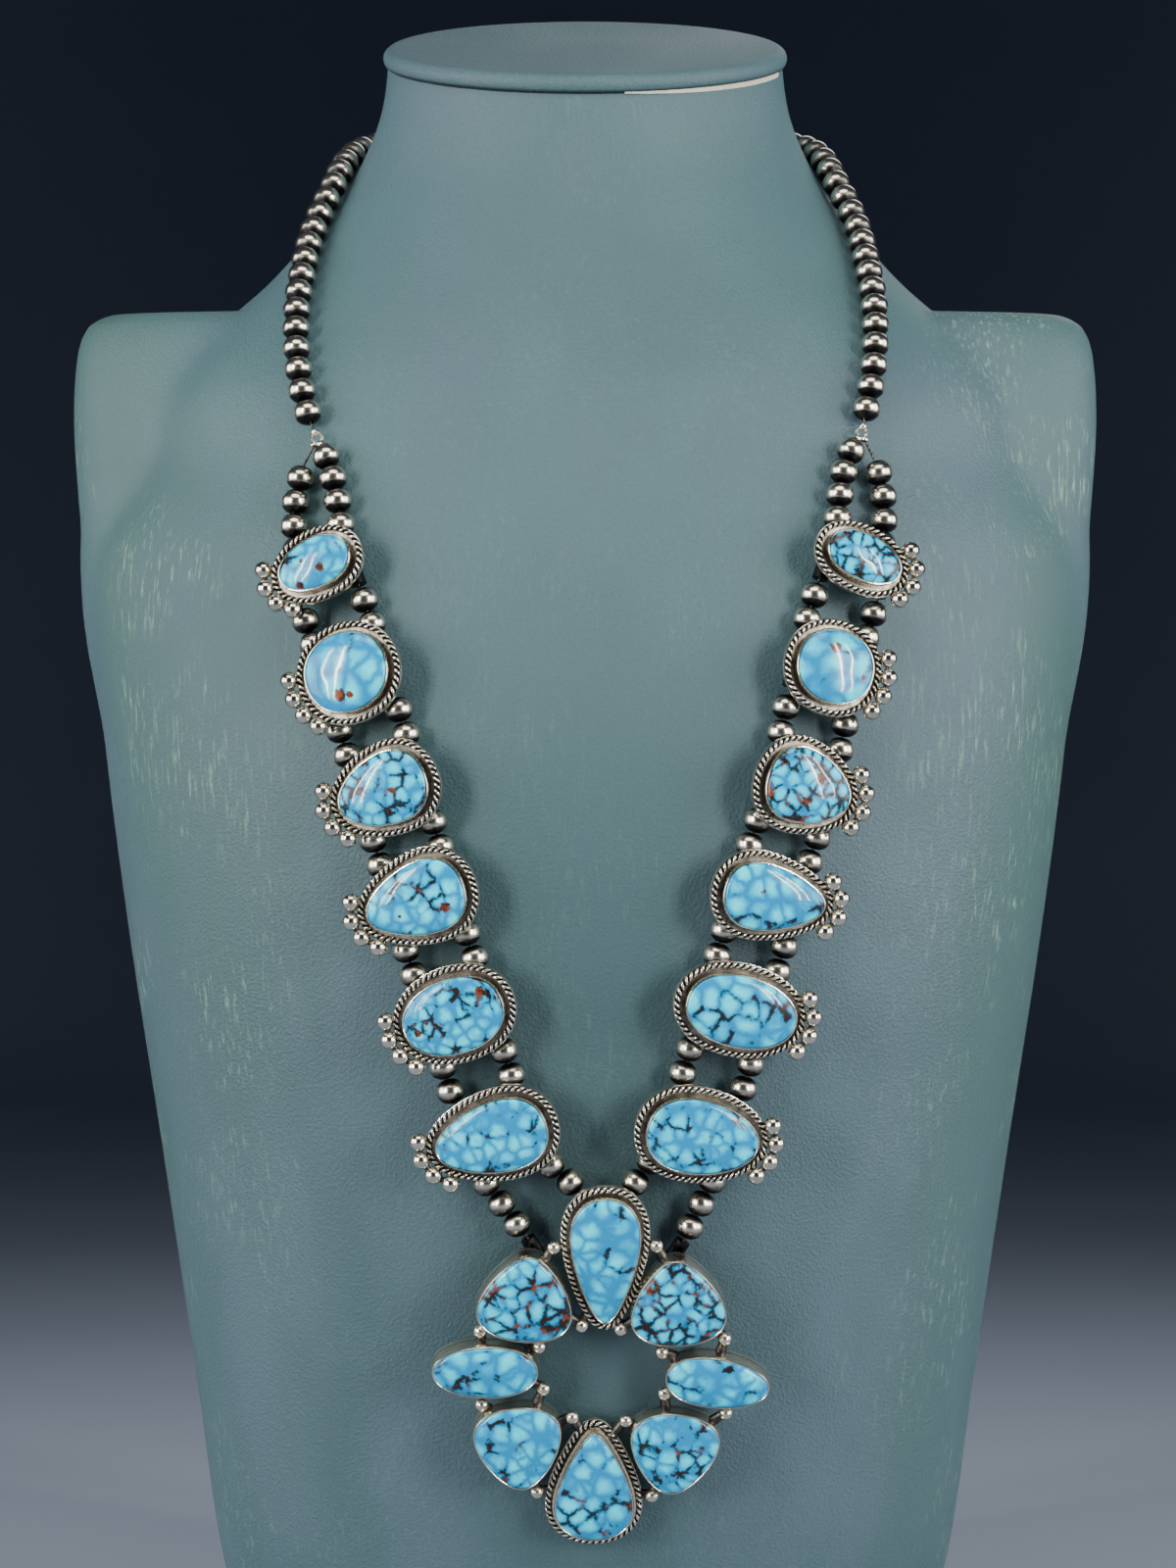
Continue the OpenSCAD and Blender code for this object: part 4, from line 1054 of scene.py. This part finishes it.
class NECKLACE_OT_beads(PieceOperator, bpy.types.Operator):
    """Makes the strings of beads and the chain in them"""
    bl_idname = "necklace.beads"
    bl_label = "Beads and chain"

    def execute(self, context):
        sizes = context.scene.necklace_beads
        metal = context.scene.necklace_settings
        bead_silver = silver("bead silver", metal, 0.21, 0.40)
        chain_silver = silver("chain silver", metal, 0.22, 0.4)
        for string in STRINGS:
            side = string.split("_")[0]
            fork = np.mean(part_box(f"{side}_fork_ring"), 0)
            line = in_order(beads_of(f"{string}_beads"), fork)
            beads = joined([bead_shape(m, w, sizes, k) for k, (m, w) in enumerate(line)])
            piece(f"{string}_bead_string", beads, bead_silver, [f"{string}_beads"])
            half = sizes.length / 2
            start = fork + 1.4 * MM * unit(line[0][0] - fork)
            last, way = line[-1]
            path = string_path(line, start, last + (half + 3 * MM) * way, half)
            piece(f"{string}_chain", chain_shape(path, sizes.chain), chain_silver,
                  [f"{string}_thread"], sharp=80)
        return {"FINISHED"}


class NECKLACE_OT_findings(PieceOperator, bpy.types.Operator):
    """Makes the fork rings and the clasp"""
    bl_idname = "necklace.findings"
    bl_label = "Fork rings and clasp"

    def execute(self, context):
        sizes = context.scene.necklace_beads
        material = silver("finding silver", context.scene.necklace_settings, 0.18, 0.4)
        for side in SIDES:
            node = f"{side}_fork_ring"
            points, _ = merged(*solid_of(node))
            _, ways = spread_of(points)
            shape = self.coil(np.mean(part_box(node), 0), ways[:, 0], sizes, side)
            piece(f"{node}_coil", shape, material, [node])
        piece("barrel_clasp", self.barrel(), material, ["clasp"])
        return {"FINISHED"}

    def coil(self, centre, axis, sizes, side):
        """A ring wound with a fine wire, and a short sleeve towards each string."""
        angle = turns(120)[:, None]
        first = unit(np.cross(axis, [0.2, 0.9, 0.4]))
        second = np.cross(axis, first)
        spoke = spin(angle, first, second)
        middle = centre + sizes.ring * spoke
        windings = 11
        wound = spin(windings * angle, spoke, axis)
        ring = wire_rings(middle, 0.36 * MM, 10, spoke, closed=True)
        wrap = wire_rings(middle + 0.34 * MM * wound, 0.17 * MM, 6, wound, closed=True)
        shapes = [skin(ring, 0.6, closed=True), skin(wrap, 0.05, closed=True)]
        for part in ("neck", "inner", "outer"):
            line = in_order(beads_of(f"{side}_{part}_beads"), centre)
            way = unit(line[0][0] - (sizes.length / 2) * line[0][1] - centre)
            shapes.append(rod(centre + sizes.ring * way, centre + 2.4 * MM * way,
                              np.array([0.85, 1.0, 1.0, 0.9]) * MM, 0.25))
        return joined(shapes)

    def barrel(self):
        """A plain barrel with two turned lines and rounded ends."""
        low, high = np.array(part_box("clasp"))
        half = (high - low) / 2
        rows = np.array([(0.3, -1.0), (0.62, -0.99), (0.85, -0.93), (0.98, -0.8), (1.0, -0.56),
                         (0.9, -0.53), (0.9, -0.49), (1.0, -0.46), (1.0, 0.0)])
        profile = np.vstack([rows, rows[-2::-1] * [1, -1]]) * half[[2, 0]]
        return skin(lathe(profile, (low + high) / 2, np.array([1.0, 0, 0]), 40), 0.15)


class NECKLACE_OT_stations(PieceOperator, bpy.types.Operator):
    """Makes the stations' settings"""
    bl_idname = "necklace.stations"
    bl_label = "Station settings"

    def execute(self, context):
        s = context.scene.necklace_settings
        material = silver("setting silver", s, 0.16, 0.42)
        for side in SIDES:
            for i in STATIONS:
                seat = seat_of(f"{side}_stone_{i}", s.floor)
                node = f"{side}_setting_{i}"
                shape = joined([plate_shape(seat, s, s.rope_out + s.lip), bezel_shape(seat, s),
                                rope_shape(seat, s, s.rope_out),
                                station_balls(seat, s, side, BALL_ROWS[side][i - 1]),
                                below_plate(node, seat)])
                piece(f"{side}_blossom_{i}", shape, material, [node])
        return {"FINISHED"}


class NECKLACE_OT_naja(PieceOperator, bpy.types.Operator):
    """Makes the naja pendant's silver"""
    bl_idname = "necklace.naja"
    bl_label = "Naja pendant"

    def execute(self, context):
        s = context.scene.necklace_settings
        seats, pendant = naja_seats(s)
        shapes = [joint_shape(j, pendant, seats, s) for j in NAJA_JOINTS]
        for i, seat in seats.items():
            shapes.append(bezel_shape(seat, s, 0.5 * MM if i == COLLARED_CUP else 0))
            if i in ROPED_CUPS:
                shapes.append(plate_shape(seat, s, s.naja_rope_out + s.lip))
                shapes.append(rope_shape(seat, s, s.naja_rope_out))
            else:
                shapes.append(plate_shape(seat, s, s.stone_gap + s.wall + 0.05 * MM))
        shapes.append(below_plate("naja", pendant))
        piece("naja_pendant", joined(shapes), silver("naja silver", s, 0.22, 0.42), ["naja"])
        return {"FINISHED"}


# How each stone looks: cell size in mm, how much web, haze, rust, and rusty spots as
# [share along the stone, share across it, radius in mm]
STONE_LOOKS = {
    "left_stone_1": (4.4, 0.30, 0.25, 0.4, [(0.18, -0.35, 1.2), (-0.55, -0.65, 1.2), (-0.25, 0.25, 0.8)]),
    "left_stone_2": (6.0, 0.12, 0.35, 0.9, [(-0.25, -0.55, 1.9), (-0.05, -0.62, 1.3)]),
    "left_stone_3": (3.5, 0.70, 0.10, 0.8, [(0.25, -0.1, 1.0)]),
    "left_stone_4": (4.2, 0.35, 0.45, 0.8, [(0.55, -0.45, 1.5), (-0.35, -0.25, 0.6)]),
    "left_stone_5": (3.4, 0.45, 0.30, 0.9, [(-0.75, -0.1, 1.1), (0.7, 0.45, 1.2), (-0.5, 0.1, 0.7)]),
    "left_stone_6": (3.9, 0.50, 0.20, 0.5, []),
    "right_stone_1": (3.4, 0.85, 0.05, 0.5, []),
    "right_stone_2": (6.2, 0.20, 0.35, 0.5, [(-0.18, 0.50, 1.6), (0.75, -0.1, 0.7)]),
    "right_stone_3": (3.4, 0.85, 0.05, 1.0, [(0.15, 0.3, 1.5), (0.0, -0.35, 1.4)]),
    "right_stone_4": (4.4, 0.35, 0.35, 0.3, [(-0.3, 0.2, 0.9)]),
    "right_stone_5": (5.2, 0.35, 0.30, 0.3, []),
    "right_stone_6": (4.2, 0.45, 0.20, 0.5, [(0.1, 0.1, 0.7)]),
    "naja_stone_1": (4.7, 0.22, 0.30, 0.3, []),
    "naja_stone_2": (3.9, 0.85, 0.05, 0.8, []),
    "naja_stone_3": (4.7, 0.30, 0.50, 0.4, []),
    "naja_stone_4": (3.9, 0.45, 0.20, 0.8, []),
    "naja_stone_5": (4.7, 0.40, 0.25, 0.7, []),
    "naja_stone_6": (4.4, 0.45, 0.20, 0.9, []),
    "naja_stone_7": (4.9, 0.35, 0.30, 0.6, []),
    "naja_stone_8": (4.2, 0.75, 0.15, 0.9, []),
}


class NECKLACE_OT_stones(PieceOperator, bpy.types.Operator):
    """Makes the turquoise stones"""
    bl_idname = "necklace.stones"
    bl_label = "Turquoise stones"

    def execute(self, context):
        s = context.scene.necklace_settings
        looks = context.scene.necklace_stones
        for seed, (node, (cell, web, haze, rust, spots)) in enumerate(STONE_LOOKS.items()):
            towards = (0, 0, -1) if node.startswith("naja") else (1, 0, 0)
            seat = seat_of(node, s.floor, towards)
            half = np.abs(seat.loop).max(0)
            marks = [(seat.out(half * [[u, v]], seat.rim + 0.7 * s.dome)[0], r * MM) for u, v, r in spots]
            material = turquoise(f"turquoise {node}", looks, seed + 1, cell * MM, web, haze, rust, marks)
            piece(node.replace("stone", "cabochon"), stone_shape(seat, s, seed), material,
                  [node], sharp=50)
        return {"FINISHED"}


# The height of the picture, in pixels, that the focal length is given for
PICTURE_HEIGHT = 1600
# The tone of the lights over the bust and beside it
WARM = (1.0, 0.97, 0.91)


def soft_light(name, place, width, height, power, spread, tone, aim=(0, -0.09, 0.22)):
    """A rectangular soft light that faces a point. Its spread is in degrees."""
    light = bpy.data.lights.new(name, "AREA")
    light.shape = "RECTANGLE"
    light.size = width
    light.size_y = height
    light.energy = power
    light.spread = np.radians(spread)
    light.color = tone
    obj = bpy.data.objects.new(name, light)
    bpy.context.scene.collection.objects.link(obj)
    back = unit(np.array(place, float) - np.array(aim, float))
    side = unit(np.cross([0, 0, 1], back))
    up = np.cross(back, side)
    obj.matrix_world = Matrix([[side[k], up[k], back[k], place[k]] for k in range(3)] + [[0, 0, 0, 1]])


class NECKLACE_OT_stage(PieceOperator, bpy.types.Operator):
    """Makes the camera, the floor and the lights"""
    bl_idname = "necklace.stage"
    bl_label = "Stage"

    def execute(self, context):
        s = context.scene.necklace_stage
        camera = bpy.data.cameras.new("camera")
        camera.sensor_fit = "VERTICAL"
        camera.sensor_height = 36
        camera.lens = s.focal_px / PICTURE_HEIGHT * camera.sensor_height
        camera.clip_end = 50
        eye = bpy.data.objects.new("camera", camera)
        eye.location = (s.aside, -s.distance, s.eye)
        eye.rotation_euler = (np.pi / 2, 0, 0)
        context.scene.collection.objects.link(eye)
        context.scene.camera = eye
        self.floor(s.floor_radius)
        soft_light("top light", (0, -0.62, 1.05), 0.90, 0.40, 2.2, 110, WARM)
        for side in (-1, 1):
            for off in (-0.055, 0.055):
                place = (side * (0.94 + off), -1.06 + off, 0.46)
                soft_light("side strip", place, 0.022, 0.95, 1.20, 60, WARM)
            soft_light("side fill", (side * 1.25, -0.40, 0.34), 1.00, 1.00, 7.5, 110, (0.98, 0.99, 1.0))
        soft_light("back light", (0.4, 1.3, 1.2), 0.9, 0.7, 1.0, 90, (1, 1, 1), (0, 0, 0.25))
        world = bpy.data.worlds.new("studio")
        world.use_nodes = True
        sky = world.node_tree.nodes["Background"].inputs
        sky["Color"].default_value = (0.44, 0.54, 0.74, 1)
        sky["Strength"].default_value = 0.075
        context.scene.world = world
        return {"FINISHED"}

    def floor(self, radius):
        """A level floor that sweeps up to a wall all round: a quarter circle turned round z."""
        curl = np.linspace(0, np.pi / 2, 16)
        bend = 1.0
        wall_top = 3.2
        out = np.concatenate([[0.01, 0.3, 1.0], radius + bend * np.sin(curl), [radius + bend]])
        up = np.concatenate([[0, 0, 0], bend * (1 - np.cos(curl)), [wall_top]])
        angle = turns(96)[None]
        height = up[:, None] + 0 * angle
        shape = skin(np.stack([out[:, None] * np.cos(angle), out[:, None] * np.sin(angle), height], -1))
        shape.faces.pop()
        obj = add_mesh("floor", shape, plain_surface("pale floor", (0.30, 0.345, 0.44), 0.8))


class NECKLACE_PT_panel(bpy.types.Panel):
    """The sidebar panel that lists the steps and their sizes"""
    bl_idname = "NECKLACE_PT_panel"
    bl_label = "Squash blossom necklace"
    bl_space_type = "VIEW_3D"
    bl_region_type = "UI"
    bl_category = "Necklace"

    def draw(self, context):
        for operator, group in STEPS:
            box = self.layout.box()
            box.operator(operator.bl_idname)
            sizes = getattr(context.scene, group)
            for name in sizes.__annotations__:
                box.prop(sizes, name)


GROUPS = {"necklace_bust": BustSizes, "necklace_beads": BeadSizes, "necklace_settings": SettingSizes,
          "necklace_stones": StoneLooks, "necklace_stage": StageSizes}
STEPS = [(NECKLACE_OT_stage, "necklace_stage"), (NECKLACE_OT_bust, "necklace_bust"),
         (NECKLACE_OT_beads, "necklace_beads"), (NECKLACE_OT_findings, "necklace_beads"),
         (NECKLACE_OT_stations, "necklace_settings"), (NECKLACE_OT_naja, "necklace_settings"),
         (NECKLACE_OT_stones, "necklace_stones")]
CLASSES = [*GROUPS.values(), *[step[0] for step in STEPS], NECKLACE_PT_panel]


def register():
    """Registers the classes and puts the sizes on the scene."""
    for cls in CLASSES:
        bpy.utils.register_class(cls)
    for name, cls in GROUPS.items():
        setattr(bpy.types.Scene, name, bpy.props.PointerProperty(type=cls))


def unregister():
    """Takes the sizes and the classes away again."""
    for name in GROUPS:
        delattr(bpy.types.Scene, name)
    for cls in reversed(CLASSES):
        bpy.utils.unregister_class(cls)


def main():
    """Makes the whole model."""
    register()
    bpy.ops.necklace.stage()
    bpy.ops.necklace.bust()
    bpy.ops.necklace.beads()
    bpy.ops.necklace.findings()
    bpy.ops.necklace.stations()
    bpy.ops.necklace.naja()
    bpy.ops.necklace.stones()


if __name__ == "__main__":
    main()
